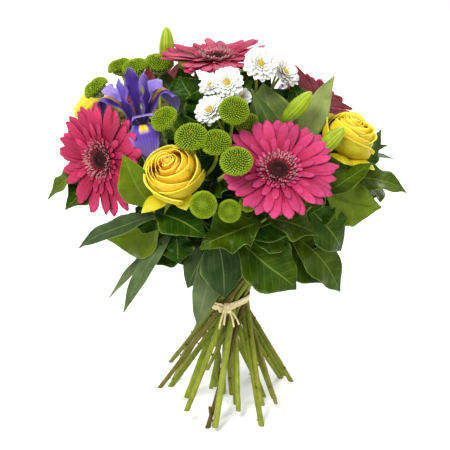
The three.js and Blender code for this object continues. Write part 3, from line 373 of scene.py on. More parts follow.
class Finish:
    """A surface finish made from shader nodes round one Principled shader."""

    def __init__(self, name, roughness=0.55, gloss=0.15, **sockets):
        self.material = bpy.data.materials.new(name)
        self.material.use_nodes = True
        self.tree = self.material.node_tree
        self.shader = self.tree.nodes["Principled BSDF"]
        self.shader.inputs["Roughness"].default_value = roughness
        self.shader.inputs["Specular IOR Level"].default_value = gloss
        for label, value in sockets.items():
            self.shader.inputs[label.replace("_", " ")].default_value = value

    def feed(self, socket, value):
        if isinstance(value, bpy.types.NodeSocket):
            self.tree.links.new(value, socket)
        else:
            socket.default_value = value

    def node(self, kind, *inputs, **settings):
        node = self.tree.nodes.new("ShaderNode" + kind)
        for label, value in settings.items():
            setattr(node, label, value)
        for socket, value in zip(node.inputs, inputs):
            self.feed(socket, value)
        return node

    def marks(self, label):
        mark = self.node("Attribute", attribute_name=label)
        return self.node("SeparateXYZ", mark.outputs["Vector"]).outputs

    def sum(self, operation, first, second=0.5):
        return self.node("Math", first, second, operation=operation).outputs[0]

    def ramp(self, share, *stops):
        node = self.node("ValToRGB", share)
        bands = node.color_ramp.elements
        while len(bands) < len(stops):
            bands.new(0.5)
        for band, (place, colour) in zip(bands, stops):
            band.position = place
            band.color = colour if isinstance(colour, tuple) else (colour, colour, colour, 1)
        return node.outputs["Color"]

    def mix(self, share, first, second, blend="MIX"):
        node = self.node("Mix", data_type="RGBA", blend_type=blend)
        colours = [socket for socket in node.inputs if socket.type == "RGBA"]
        for socket, value in zip((node.inputs["Factor"], *colours), (share, first, second)):
            self.feed(socket, value)
        return next(socket for socket in node.outputs if socket.type == "RGBA")

    def noise(self, scale, detail=3.0, stretch=None):
        place = self.node("TexCoord").outputs["Object"]
        if stretch is not None:
            moved = self.node("Mapping", place)
            moved.inputs["Scale"].default_value = stretch
            place = moved.outputs[0]
        node = self.node("TexNoise", place)
        node.inputs["Scale"].default_value = scale
        node.inputs["Detail"].default_value = detail
        return node.outputs["Fac"]

    def uneven(self, scale, low, high):
        """A value that varies slowly from patch to patch."""
        return self.ramp(self.noise(scale), (0.3, low), (0.7, high))

    def mottle(self, colour, scale=180.0, low=0.78, high=1.12):
        """Slow light and dark patches all over."""
        return self.mix(1.0, colour, self.uneven(scale, low, high), "MULTIPLY")

    def shade(self, colour, own, low, high):
        """Each petal's own lighter or darker shade."""
        return self.mix(1.0, colour, self.ramp(own, (0.0, low), (1.0, high)), "MULTIPLY")

    def stripes(self, across, rate):
        """Lines that run lengthwise, 0 in the middle of each line."""
        return self.sum("ABSOLUTE", self.sum("SINE", self.sum("MULTIPLY", across, rate)))

    def done(self, colour, relief=None, depth=0.3, distance=0.0004, rough=None):
        self.feed(self.shader.inputs["Base Color"], colour)
        if relief is not None:
            bump = self.node("Bump")
            bump.inputs["Strength"].default_value = depth
            bump.inputs["Distance"].default_value = distance
            self.feed(bump.inputs["Height"], relief)
            self.feed(self.shader.inputs["Normal"], bump.outputs[0])
        if rough is not None:
            self.feed(self.shader.inputs["Roughness"], rough)
        return self.material


def gerbera_petal_finish(name, deep, middle, light, pale):
    finish = Finish(name, roughness=0.5, gloss=0.08)
    along, across, own = finish.marks("growth")
    under, kind, _ = finish.marks("skin")
    ray = finish.ramp(along, (0.0, deep), (0.36, middle), (1.0, light))
    crest = finish.ramp(along, (0.0, deep), (0.55, middle), (1.0, pale))
    colour = finish.mix(kind, ray, crest)
    # Painted shade: darker lengthwise lines at the grooves' spacing, so that two of them lie in the sunk
    # grooves.
    line = finish.stripes(across, 9.24)
    colour = finish.mix(finish.ramp(line, (0.0, 0.34), (0.5, 0.0)), colour, deep)
    # Painted highlights: faint pale streaks along the petal.
    colour = finish.mix(finish.ramp(finish.stripes(across, 19.0), (0.7, 0.0), (1.0, 0.07)), colour, pale)
    colour = finish.shade(colour, own, 0.8, 1.16)
    colour = finish.mix(finish.sum("MULTIPLY", under, 0.45), colour, pale)
    return finish.done(finish.mottle(colour, 260, 0.86, 1.1), line, 0.25,
                       rough=finish.uneven(400, 0.42, 0.62))


def gerbera_eye_finish():
    finish = Finish("gerbera_eye", roughness=0.75)
    along, _, own = finish.marks("growth")
    centre = finish.ramp(along, (0.0, dye(16, 5, 8)), (0.7, dye(46, 12, 22)), (1.0, dye(92, 36, 42)))
    rim = finish.ramp(along, (0.0, dye(48, 8, 20)), (0.6, dye(104, 26, 46)), (1.0, dye(184, 124, 108)))
    colour = finish.mix(own, centre, rim)
    return finish.done(finish.mottle(colour, 500), finish.noise(900), 0.4)


def stem_finish(name, strength, *tones):
    """Stem from its young, old and dark tones: long streaks, brown where it is woody, a pale cut end."""
    finish = Finish(name, roughness=0.42, gloss=0.12)
    young, old, dark = (dye(*tone, strength) for tone in tones)
    own = finish.marks("growth")[2]
    cut, woody, _ = finish.marks("skin")
    streak = finish.noise(700, 2, (1, 1, 0.06))
    colour = finish.mix(finish.ramp(streak, (0.35, 0.0), (0.65, 1.0)), young, old)
    colour = finish.mix(finish.ramp(own, (0.0, 0.0), (1.0, 0.6)), colour, dark)
    colour = finish.mix(finish.ramp(finish.noise(60, 4), (0.5, 0.0), (0.75, 0.45)), colour, dark)
    colour = finish.mix(finish.sum("MULTIPLY", woody, 0.85), colour, dye(92, 66, 34))
    colour = finish.mix(cut, colour, dye(196, 204, 140))
    return finish.done(finish.mottle(colour, 140, 0.82, 1.12), streak, 0.3,
                       rough=finish.ramp(streak, (0.3, 0.34), (0.7, 0.56)))


# Each petal dye from the root to the tip, then the pale tone of the crest's tips, the underside and the
# painted highlight streaks.
PETAL_DYES = {
    "deep_pink": (dye(116, 0, 32, 0.5), dye(172, 6, 58, 0.5), dye(218, 58, 108, 0.52),
                  dye(244, 176, 180, 0.52)),
    "pink": (dye(132, 0, 38, 0.41), dye(204, 14, 80, 0.41), dye(248, 82, 146, 0.41),
             dye(248, 190, 190, 0.48)),
    "crimson": (dye(112, 2, 28, 0.56), dye(180, 10, 50, 0.56), dye(206, 40, 78, 0.62),
                dye(255, 138, 160, 1.2)),
}
petal_finishes = {name: gerbera_petal_finish("gerbera_petals_" + name, *dyes)
                  for name, dyes in PETAL_DYES.items()}
eye_finish = gerbera_eye_finish()
gerbera_stem_finish = stem_finish("gerbera_stem", 0.62, (150, 154, 40), (172, 174, 60), (108, 126, 22))


def lay_rays(petals, axes, flower, seed, row):
    """One row of ray petals: two grooves, a hollow that opens towards the tip, a notch at the tip."""
    count, shift, reach, base, extra, half = RAY_ROWS[row]
    mess = flower["mess"]
    pick = (seed * 5 + row) * 97 + np.arange(count)
    azimuth = round_about(count, shift + 0.2 * mess * scatter(1, pick))
    length = (reach * GERBERA_RADIUS - RAY_ROOT) * (1 + 0.05 * mess * scatter(2, pick))
    tilt = np.radians(flower["cup"] + extra + 4.5 * mess * scatter(3, pick))
    s = np.linspace(0, 1, 11)
    v = np.linspace(-1, 1, 7)
    bow = 0.16 + 0.07 * mess * scatter(4, pick)
    far = RAY_ROOT + length[:, None] * s * np.cos(tilt)[:, None]
    high = base + length[:, None] * (np.sin(tilt)[:, None] * s + bow[:, None] * (s - s * s) * 0.8)
    wide = half * (1 + 0.1 * scatter(5, pick))[:, None] * smooth_through(
        [(0, 0.3), (0.2, 0.62), (0.52, 0.96), (0.8, 1), (0.94, 0.8), (1, 0.5)], s)
    sway = (0.07 * mess * scatter(6, pick) * length)[:, None, None] * (s ** 2)[:, None]
    aside = wide[..., None] * v + sway
    deep = np.sin(np.pi * np.minimum(1, s * 1.1)) ** 0.5
    groove = np.exp(-((np.abs(v) - 0.34) / 0.13) ** 2) * deep[:, None]
    channel = (0.34 * (1 - s) - 0.24 * s)[:, None] * v * v
    twist = (0.16 * mess * scatter(7, pick))[:, None, None] * s[:, None] * v
    lift = wide[..., None] * (channel + twist) - 0.55 * groove
    notch = (0.8 + 0.8 * scatter(8, pick))[:, None, None] * np.exp(-(v / 0.22) ** 2) * (s ** 10)[:, None]
    ahead = -0.5 * half * (v * v) * (s ** 6)[:, None] - notch
    lay_sheets(petals, radiate(axes, azimuth, far, high, aside, lift, ahead), 0.55, chance(9, pick))


def lay_crest(petals, axes, seed, count, root, height, length):
    """Short florets round the eye, curled up, with pale tips."""
    pick = seed * 131 + np.arange(count)
    azimuth = round_about(count, 0.3 * scatter(1, pick))
    ray = level_rays(axes, azimuth)
    foot = head_point(axes, root + 0.6 * scatter(2, pick), azimuth, height)
    rise = 0.35 + 0.2 * scatter(3, pick)
    ahead = ray + rise[:, None] * axes[3]
    up = axes[3] - rise[:, None] * ray + 0.25 * scatter(4, pick)[:, None] * np.cross(axes[3], ray)
    lay_blades(petals, foot, ahead, up, length * (1 + 0.2 * scatter(5, pick)), 0.85,
               [(0, 0.6), (0.6, 1), (1, 0.35)], bend=0.7 + 0.5 * scatter(6, pick), cup=0.5, thick=0.35,
               own=chance(7, pick), kind=1.0)


for seed, (name, flower) in enumerate(GERBERAS.items()):
    axes = head_axes(flower["at"], flower["faces"])
    petals, eye, stem = Growth(), Growth(), Growth()
    for row in range(len(RAY_ROWS)):
        lay_rays(petals, axes, flower, seed, row)
    for ring, rows in enumerate(CREST_RINGS):
        lay_crest(petals, axes, seed * 3 + ring, *rows)
    lay_buds(petals, head_point(axes, 0, 0, -4.4), axes[3], 6.0, 11.0, [(0, 0.6), (0.3, 1), (0.8, 1)], 20,
             along=0.0)
    petals.piece(f"gerbera_{name}_petals", petal_finishes[flower["dye"]],
                 "gerbera_petals_" + flower["dye"], f"gerbera_{name}_petals")
    k, share, azimuth = spiral(EYE_FLORETS)
    foot = head_point(axes, EYE_RADIUS * share, azimuth, 1.2 + 1.6 * np.sin(np.pi * share) - 0.4 * share)
    away = foot - axes[0] - ((foot - axes[0]) @ axes[3])[:, None] * axes[3]
    out = axes[3] + 0.5 * share[:, None] * unit(away)
    lay_buds(eye, foot, out, 1.9 + 0.8 * share + 0.3 * scatter(seed, k), 0.42,
             [(0, 0.8), (0.5, 1.0), (0.85, 0.7)], 5, share ** 3)
    lay_buds(eye, head_point(axes, 0, 0, 0.8), axes[3], 2.2, 8.6, [(0, 0.9), (0.3, 1), (0.8, 0.75)], 20, 0.0)
    eye.piece(f"gerbera_{name}_eye", eye_finish, "gerbera_eye", f"gerbera_{name}_eye")
    lay_bent_stem(stem, f"gerbera_{name}_stem", axes, -GERBERA_BACK - GERBERA_NECK, -GERBERA_BACK,
                  GERBERA_STEM, GERBERA_CUP, 14, 0.2 + 0.15 * seed % 0.5)
    for turn, height, size in BRACT_RINGS:
        azimuth = round_about(BRACTS, turn)
        ray = level_rays(axes, azimuth)
        radius = np.interp(height, [-12, -9.5, -5], [5.4, 8.1, 9.9])
        lay_blades(stem, head_point(axes, radius, azimuth, height), ray + 0.75 * axes[3], axes[3] - ray,
                   size, 1.5, [(0, 1), (0.4, 0.9), (1, 0.06)], bend=0.5, thick=0.5, own=0.3)
    stem.piece(f"gerbera_{name}_stem", gerbera_stem_finish, "gerbera_stem", f"gerbera_{name}_stem")

# Four yellow roses: petals wrapped in a spiral round a tight heart, each cupped with a rolled rim,
# held by a round hip with five narrow sepals on a firm stem with thorns.

ROSES = {
    "front": dict(at=(-46, -104, 281), faces=(-18, 45), lean=(-24, 17), open=0.0,
                  guards=[(-122, 41, 9.5), (-60, 30, 9)]),
    "right": dict(at=(117, -25, 294), faces=(60, 62), lean=(10, 8), open=0.7,
                  guards=[(-150, 34, 13), (-100, 38, 15), (-20, 33, 13)]),
    "left": dict(at=(-127, 40, 301), faces=(-112, 34), lean=(0, 10), open=0.5, guards=[(60, 34, 12)]),
    "back": dict(at=(-12, 120, 284), faces=(-176, 36), lean=(0, 10), open=0.3, guards=[(-110, 35, 12)]),
}
ROSE_BASE, ROSE_HIP, ROSE_NECK, ROSE_STEM = -20, 8, 24, 3.0
# The hip from the stem up: radius, height.
ROSE_SWELL = [(3.6, -27.2), (5.4, -26.0), (6.6, -24.0), (6.8, -22.0), (6.2, -20.4), (5.0, -19.6)]
SEPALS, THORNS = 5, 9
THORN_SPAN = 20  # steps of the stem's line that carry thorns
# Petal rows from the heart out: count, belly, rim radius, rim height, half angle in degrees, outward roll
# of the rim, fall of the rim towards the sides, height of the foot.
ROSE_ROWS = [(2, 1.8, 0.9, 19.0, 130, 0.0, 0.8, 2), (3, 3.4, 2.3, 20.0, 104, 0.1, 1.2, 0),
             (3, 5.2, 4.0, 20.6, 92, 0.2, 1.8, -2), (3, 7.6, 6.2, 20.6, 88, 0.4, 2.6, -5),
             (3, 12.2, 9.2, 20.4, 86, 0.7, 4.0, -10), (3, 18.0, 13.6, 19.4, 84, 1.2, 6.0, -16),
             (3, 22.6, 18.2, 16.4, 84, 1.8, 7.0, -19.5), (4, 25.2, 22.8, 11.4, 64, 2.5, 8.5, -19.5)]


def rose_petal_finish():
    finish = Finish("rose_petals", roughness=0.5, Subsurface_Weight=0.7, Subsurface_Scale=0.008,
                    Subsurface_Radius=(1.0, 0.7, 0.15))
    along, across, own = finish.marks("growth")
    outer = finish.marks("skin")[1]
    # The inner rows, and the lower part of every petal, are deeper orange, their own warmer colour, and are
    # also painted brighter than the outer rows: painted light that stands in for light shining through the
    # petals deep inside the rose.
    inner = finish.ramp(outer, (0.0, dye(255, 126, 30, 0.88)), (0.3, dye(255, 146, 34, 0.88)),
                        (0.55, dye(255, 190, 38, 0.76)), (0.8, dye(250, 206, 42, 0.66)),
                        (1.0, dye(214, 204, 30, 0.54)))
    colour = finish.mix(finish.ramp(along, (0.3, 0.3), (0.9, 0.0)), inner, dye(255, 180, 24, 0.82))
    colour = finish.mix(finish.ramp(along, (0.0, 0.9), (0.3, 0.0)), colour, dye(190, 186, 44))
    rim = finish.ramp(along, (0.86, 0.0), (1.0, 0.55))
    colour = finish.mix(rim, colour, dye(255, 228, 90, 0.8))
    vein = finish.stripes(across, 23.0)
    colour = finish.mix(finish.ramp(vein, (0.0, 0.08), (0.4, 0.0)), colour, dye(236, 170, 30, 0.75))
    colour = finish.shade(colour, own, 0.92, 1.05)
    return finish.done(finish.mottle(colour, 120, 0.93, 1.05), vein, 0.12,
                       rough=finish.uneven(300, 0.38, 0.55))


def lay_rose_row(petals, flower, seed, row):
    """One row of wrapped petals. The inner rows lean their own way, so that the heart sits askew."""
    count, belly, rim, high, half_angle, roll, fall, low = ROSE_ROWS[row]
    outer = row / (len(ROSE_ROWS) - 1)
    turn, rise = np.array(flower["faces"]) + np.array(flower["lean"]) * (1 - outer)
    axes = head_axes(flower["at"], (turn + 5 * scatter(seed + 3, row), rise + 3 * scatter(seed + 7, row)))
    roll, high = roll * (1 + 0.5 * flower["open"]), high - 2.0 * flower["open"] * outer
    pick = seed * 61 + row * 7 + np.arange(count)
    azimuth = round_about(count, 0.26 * scatter(1, pick)) + row * 1.9
    rows = np.linspace(0, 1, 16)
    s, v = rows[:, None], np.linspace(-1, 1, 15)[None]
    swing = scatter(2, pick)[:, None, None]
    knots = [(0, 2.5 + 0.12 * belly), (0.3, 0.84 * belly), (0.62, belly), (1, rim)]
    profile = smooth_through(knots, rows)[:, None]
    t = np.clip((s - 0.84) / 0.16, 0, 1)
    spread = math.radians(half_angle) * (0.45 + 0.55 * np.sin(np.minimum(1, 1.2 * s) * np.pi / 2))
    wave = (0.3 + 0.16 * roll) * np.sin((3.5 + swing) * v + 6 * swing) * s ** 3 * (belly > 6)
    radius = profile + min(0.09 * belly + 0.5, 2.2) * v + roll * (1 + 0.35 * swing) * t ** 2 + wave
    point = (0.3 + 0.35 * roll) * np.exp(-(v / 0.22) ** 2) * t
    wave = wave * (1 + flower["open"])
    uneven = (0.4 + 1.1 * outer) * scatter(3, pick)[:, None, None]
    height = (low + (high + uneven - low) * s ** 0.9 - fall * np.abs(v + 0.12) ** 2.8 * s
              - 0.12 * belly * v * s - 0.5 * roll * t ** 3 + point + wave)
    top = head_point(axes, radius, azimuth[:, None, None] + v * spread, height)
    lay_sheets(petals, top, 0.5, chance(4, pick), outer * (0.8 + 0.2 * flower["open"]))


def round_stem(way, turn):
    """The ways that stand square on a stem, at these angles round it."""
    level = unit(np.cross(way, [0, 0, 1.0]))
    return np.cos(turn)[:, None] * level + np.sin(turn)[:, None] * np.cross(level, way)


rose_finish = rose_petal_finish()
rose_stem_finish = stem_finish("rose_stem", 0.7, (134, 152, 30), (158, 164, 56), (84, 104, 20))
for seed, (name, flower) in enumerate(ROSES.items()):
    axes = head_axes(flower["at"], flower["faces"])
    petals, stem = Growth(), Growth()
    for row in range(len(ROSE_ROWS)):
        lay_rose_row(petals, flower, seed, row)
    lay_buds(petals, head_point(axes, 0, 0, -2), axes[3], 17, 2.6, [(0, 1), (0.5, 1), (0.9, 0.6)], 10, 0.2)
    for azimuth, length, half in flower["guards"]:
        ray = level_rays(axes, math.radians(azimuth))
        lay_blades(petals, head_point(axes, 12, math.radians(azimuth), -14.0), 0.9 * ray + 0.42 * axes[3],
                   axes[3] - 0.4 * ray, length - 8, half, [(0, 0.7), (0.35, 1), (0.7, 0.72), (1, 0.04)],
                   bend=-0.5, cup=-0.28, thick=0.5, rows=12, cols=9, own=0.8, kind=1.0)
    petals.piece(f"rose_{name}_petals", rose_finish, "rose_petals", f"rose_{name}_petals")
    hip = ROSE_BASE - ROSE_HIP
    route = lay_bent_stem(stem, f"rose_{name}_stem", axes, hip - ROSE_NECK, hip, ROSE_STEM, ROSE_SWELL,
                          12, 0.6)
    azimuth = round_about(SEPALS, 0.45)
    ray = level_rays(axes, azimuth)
    lay_blades(stem, head_point(axes, 5.0, azimuth, -21.0), ray - 0.1 * axes[3], axes[3] + 0.1 * ray, 26, 3.4,
               [(0, 0.8), (0.3, 1), (0.7, 0.5), (1, 0.04)], cup=0.3, thick=0.6, rows=9, cols=5, own=0.3,
               bend=-0.6 + 0.3 * scatter(seed, np.arange(SEPALS)))
    k = np.arange(THORNS)
    low, high = route[0], route[THORN_SPAN]
    spot = low + (high - low) * ((k + 0.6 + 0.3 * scatter(seed + 5, k)) / (THORNS + 0.5))[:, None]
    way = unit(high - low)
    thorn = round_stem(way, GOLDEN_TURN * k + seed)
    lay_buds(stem, spot + thorn * (ROSE_STEM - 0.7), thorn - 0.35 * way, 3.2, 1.5,
             [(0, 1.0), (0.25, 0.62), (0.6, 0.28)], 6, 0.9, 0.8)
    stem.piece(f"rose_{name}_stem", rose_stem_finish, "rose_stem", f"rose_{name}_stem")

# Two violet-blue irises: three falls that arch out and droop, each with a yellow-orange flash, three
# upright standards and three arched style arms, out of a green sheath on a round stem.

# rise lifts each of the three falls, and the style arm over it, in millimetres.
IRISES = {"left": dict(at=(-78, -46, 310), faces=(-35, 75), spin=75, rise=(13, 17, 0)),
          "back": dict(at=(48, 100, 266), faces=(155, 32), spin=0, rise=(4, 0, 8))}
IRIS_NECK, IRIS_BACK, IRIS_SHEATH, IRIS_STEM = 24, 24, 12, 3.2
# The swelling under the petals, from the stem up: radius, height.
IRIS_SWELL = [(4.6, -32), (5.4, -28), (4.4, -24)]
# Each set of three: turn in degrees, kind, knots of reach, of height and of half width, ruffle, fold.
IRIS_SETS = {
    "falls": dict(turn=0, kind=0.0, reach=[(0, 2), (0.4, 19), (0.72, 35), (1, 42)],
                  height=[(0, -5), (0.4, 11), (0.6, 14), (0.78, 8), (1, -15)],
                  half=[(0, 2.8), (0.35, 5.6), (0.52, 8.6), (0.74, 15.0), (0.92, 11.5), (1, 4.5)],
                  ruffle=2.8, fold=-0.16),
    "standards": dict(turn=60, kind=0.5, reach=[(0, 2), (0.4, 10), (0.7, 14), (1, 13)],
                      height=[(0, -4), (0.4, 21), (0.7, 38), (1, 55)],
                      half=[(0, 1.6), (0.3, 3.0), (0.66, 6.6), (0.88, 5.8), (1, 2.2)], ruffle=2.4, fold=0.36),
    "styles": dict(turn=0, kind=1.0, reach=[(0, 2), (0.4, 11), (0.75, 23), (1, 32)],
                   height=[(0, 1), (0.4, 16), (0.75, 22), (1, 25)],
                   half=[(0, 2.0), (0.5, 6.6), (0.8, 10.8), (1, 7.0)], ruffle=1.8, fold=-0.24),
}


def iris_petal_finish():
    finish = Finish("iris_petals", roughness=0.5)
    along, across, own = finish.marks("growth")
    under, kind, _ = finish.marks("skin")
    beside = finish.sum("ABSOLUTE", across)
    violet = finish.ramp(along, (0.0, dye(70, 92, 40)), (0.14, dye(88, 60, 152)), (0.5, dye(80, 46, 154)),
                         (0.8, dye(96, 68, 176)), (1.0, dye(146, 124, 206)))
    style = finish.ramp(along, (0.0, dye(138, 132, 178)), (0.5, dye(126, 102, 192)),
                        (1.0, dye(160, 138, 212)))
    colour = finish.mix(finish.ramp(kind, (0.6, 0.0), (0.9, 1.0)), violet, style)
    fan = finish.sum("SINE", finish.sum("MULTIPLY", across, 30.0))
    colour = finish.mix(finish.ramp(fan, (0.55, 0.0), (0.95, 0.4)), colour, dye(56, 28, 118))
    colour = finish.mix(finish.ramp(beside, (0.7, 0.0), (1.0, 0.6)), colour, dye(154, 134, 206))
    middle = finish.ramp(beside, (0.18, 1.0), (0.36, 0.0))
    flash = finish.ramp(along, (0.32, 0.0), (0.42, 1.0), (0.66, 1.0), (0.76, 0.0))
    fall = finish.ramp(kind, (0.1, 1.0), (0.3, 0.0))
    top = finish.ramp(under, (0.2, 1.0), (0.8, 0.0))
    share = finish.mix(1.0, finish.mix(1.0, middle, flash, "MULTIPLY"),
                       finish.mix(1.0, fall, top, "MULTIPLY"), "MULTIPLY")
    gold = finish.ramp(beside, (0.0, dye(250, 170, 10, 0.8)), (0.4, dye(254, 222, 50, 0.8)))
    colour = finish.mix(share, colour, gold)
    colour = finish.shade(colour, own, 0.85, 1.3)
    return finish.done(finish.mottle(colour, 220, 0.85, 1.12), fan, 0.2)


def lay_iris_set(petals, axes, flower, seed, number, label):
    """Three petals of one set, ruffled at the sides, with a rib sunk in and a split tip."""
    made = IRIS_SETS[label]
    s, v = np.linspace(0, 1, 24), np.linspace(-1, 1, 13)
    pick = seed * 11 + number * 3 + np.arange(3)
    azimuth = round_about(3, made["turn"] / 120 + 0.04 * scatter(1, pick))
    reach = np.tile(smooth_through(made["reach"], s), (3, 1))
    height = np.tile(smooth_through(made["height"], s), (3, 1))
    if label != "standards":
        raised = smooth_through([(0, 0), (0.55, 0.9), (0.8, 1), (1, 0.75)], s)
        height = height + np.outer(flower["rise"], raised)
    half = smooth_through(made["half"], s)[:, None]
    wave = made["ruffle"] * np.sin(17 * s[:, None] + 2 * np.sign(v) + 2 * scatter(2, pick)[:, None, None])
    lift = (made["fold"] * half * v * v + wave * v * v * np.minimum(1, half / 6)
            - 0.6 * np.exp(-(v / 0.1) ** 2))
    split = 1.6 * np.exp(-(v / 0.25) ** 2) * (s ** 14)[:, None] * (1.0 if number else 0.3)
    ahead = -0.55 * half * v * v * (s ** 8)[:, None] - split
    aside = np.tile(half * v, (3, 1, 1)) + 1.5 * scatter(3, pick)[:, None, None] * (s ** 2)[:, None]
    lay_sheets(petals, radiate(axes, azimuth, reach, height, aside, lift, ahead), 0.5, chance(4, pick),
               made["kind"])


iris_finish = iris_petal_finish()
iris_stem_finish = stem_finish("iris_stem", 0.72, (140, 152, 44), (160, 166, 66), (100, 118, 28))
for seed, (name, flower) in enumerate(IRISES.items()):
    axes = head_axes(flower["at"], flower["faces"], flower["spin"])
    petals, stem = Growth(), Growth()
    for number, label in enumerate(IRIS_SETS):
        lay_iris_set(petals, axes, flower, seed, number, label)
    lay_buds(petals, head_point(axes, 0, 0, -IRIS_BACK + 0.5), axes[3], 30, 4.2,
             [(0, 0.9), (0.5, 0.95), (0.85, 1.0)], 14, 0.3, 0.5)
    petals.piece(f"iris_{name}_petals", iris_finish, "iris_petals", f"iris_{name}_petals")
    lay_bent_stem(stem, f"iris_{name}_stem", axes, -IRIS_BACK - IRIS_NECK, -IRIS_BACK - IRIS_SHEATH,
                  IRIS_STEM, IRIS_SWELL, 12, 0.3)
    plain = head_axes(flower["at"], flower["faces"])
    azimuth = np.radians([200.0, 20.0])
    ray = level_rays(plain, azimuth)
    lay_blades(stem, head_point(plain, 3.4, azimuth, -38.0), plain[3] + 0.2 * ray, plain[3] * 0.2 - ray,
               [38, 30], 6.0, [(0, 0.75), (0.4, 1), (0.75, 0.6), (1, 0.05)], bend=-0.25, cup=0.5, thick=0.6,
               rows=14, cols=9, own=0.5)
    stem.piece(f"iris_{name}_stem", iris_stem_finish, "iris_stem", f"iris_{name}_stem")

# Five sprays of lime button chrysanthemums: each round head is hundreds of short spoon florets set
# in a spiral round a dimple, on thin branches that fork off one ribbed stem.

# Each head: its middle, the way it faces, its size and, for some, a point that pulls its branch aside.
MUM_SPRAYS = {
    "left": dict(fork=(-24, -56, 262), heads=[
        ((-54, -80, 325), (-60, 50), 0.95), ((-30, -95, 312), (-15, 62), 1.1),
        ((-8, -98, 308), (-8, 60), 1.0)]),
    "centre": dict(fork=(2, -50, 262), heads=[
        ((8, -80, 333), (5, 43), 1.0), ((21, -54, 313), (15, 60), 0.9),
        ((10, -122, 298), (-4, 55), 1.05, (-16, -104, 270))]),
    "low": dict(fork=(-4, -78, 226), flat=0.55, heads=[
        ((-19, -132, 262), (-4, 20), 0.88), ((4, -126, 254), (4, 14), 0.75),
        ((20, -112, 256), (10, 25), 0.55)]),
    "top_left": dict(fork=(-62, 14, 292), heads=[
        ((-65, 30, 351), (0, 88), 1.08), ((-87, 18, 350), (-90, 75), 0.95),
        ((-123, 0, 334), (-95, 50), 0.95), ((-104, 44, 345), (-110, 70), 0.9)]),
    "back": dict(fork=(6, 66, 268), heads=[
        ((-4, 76, 340), (-170, 72), 1.0), ((16, 96, 320), (170, 50), 1.0),
        ((94, 100, 268), (140, 30), 1.0, (64, 84, 262)),
        ((-46, 128, 258), (-165, 20), 0.9, (-26, 96, 252))]),
}
MUM_STEM, MUM_BRANCH = 2.4, (1.9, 1.6)
MUM_FLORETS, MUM_BRACTS = 290, 14
# Fringe rows: count, tilt away from the head's facing in degrees, length.
MUM_FRINGE = [(32, 80, 3.6), (32, 94, 3.8), (30, 108, 3.4)]


def mum_finish():
    finish = Finish("green_mum_florets", roughness=0.6)
    along, _, own = finish.marks("growth")
    eye = finish.marks("skin")[1]
    colour = finish.ramp(along, (0.0, dye(104, 142, 0, 0.46)), (0.5, dye(130, 166, 0, 0.48)),
                         (1.0, dye(174, 202, 26, 0.49)))
    colour = finish.mix(finish.sum("MULTIPLY", eye, 0.7), colour, dye(204, 196, 24))
    colour = finish.shade(colour, own, 0.84, 1.12)
    return finish.done(finish.mottle(colour, 160, 0.88, 1.1), finish.noise(900), 0.2)


def branch_route(fork, axes, back, via=None):
    end = head_point(axes, 0, 0, -back)
    if via is None:
        via = head_point(axes, 0, 0, -back - 0.45 * np.linalg.norm(end - fork))
    return bezier(fork, np.array(via, float), end, 12)


def lay_forked_stem(stem, foot, fork, thick, own, ribs=0):
    """A stem from its cut foot to the fork, with faint joints along it."""
    tied.append((foot, unit(fork - foot), thick))
    route = straight(foot, fork + unit(fork - foot))
    share = np.linspace(0, 1, len(route))
    joints = np.exp(-((np.mod(share * 7 + own, 1) - 0.5) / 0.08) ** 2)
    lay_tube(stem, route, thick * (1 - 0.2 * share) * (1 + 0.12 * joints), 12, own, level=foot[2],
             ribs=ribs, rib_depth=0.05 if ribs else 0)


def lay_mum_head(heads, axes, size, seed, flat):
    """One round head: a ball of florets, a fringe of small petals below it and a plain core."""
    k, share, azimuth = spiral(MUM_FLORETS)
    tilt = np.radians(100) * share ** 1.06
    azimuth = azimuth + 0.018 * scatter(seed + 5, k) / (share + 0.1)
    lean = 0.85 * tilt + 0.08 * scatter(seed, k)
    ahead = np.sin(lean)[:, None] * level_rays(axes, azimuth) + np.cos(lean)[:, None] * axes[3]
    dimple = np.exp(-(share / 0.2) ** 2)
    foot = head_point(axes, 11.2 * size * np.sin(tilt), azimuth,
                      size * (0.4 + flat * (8.0 * np.cos(tilt) - 1.9 * dimple)))
    length = size * (2.6 + 0.6 * share + 0.25 * scatter(seed + 3, k))
    lay_buds(heads, foot, ahead, length, size * (0.66 + 0.36 * share), [(0, 0.8), (0.45, 1), (0.8, 0.74)], 5,
             chance(seed + 1, k), np.exp(-(share / 0.16) ** 2))
    for row, (count, tilt, length) in enumerate(MUM_FRINGE):
        k = seed * 40 + row * 9 + np.arange(count)
        azimuth = round_about(count, 0.5 * row + 0.3 * scatter(4, k))
        ray = level_rays(axes, azimuth)
        lean = np.radians(tilt + 5 * scatter(5, k))
        ahead = np.sin(lean)[:, None] * ray + np.cos(lean)[:, None] * axes[3]
        up = np.sin(lean)[:, None] * axes[3] - np.cos(lean)[:, None] * ray
        foot = head_point(axes, 10.2 * size, azimuth, size * (1.0 + 4.4 * math.cos(math.radians(tilt))))
        lay_blades(heads, foot, ahead, up, length * size * (1 + 0.1 * scatter(6, k)), 1.15 * size,
                   [(0, 0.7), (0.6, 1), (0.88, 0.86), (1, 0.4)], bend=-0.35, cup=0.35, thick=0.4, rows=4,
                   own=chance(7, k))
    core = [(0, 0.3), (0.12, 0.66), (0.3, 0.9), (0.6, 0.95), (0.85, 0.66)]
    lay_buds(heads, head_point(axes, 0, 0, -7.5 * size), axes[3], 14.0 * size, 10.6 * size, core, 20,
             along=0.3)


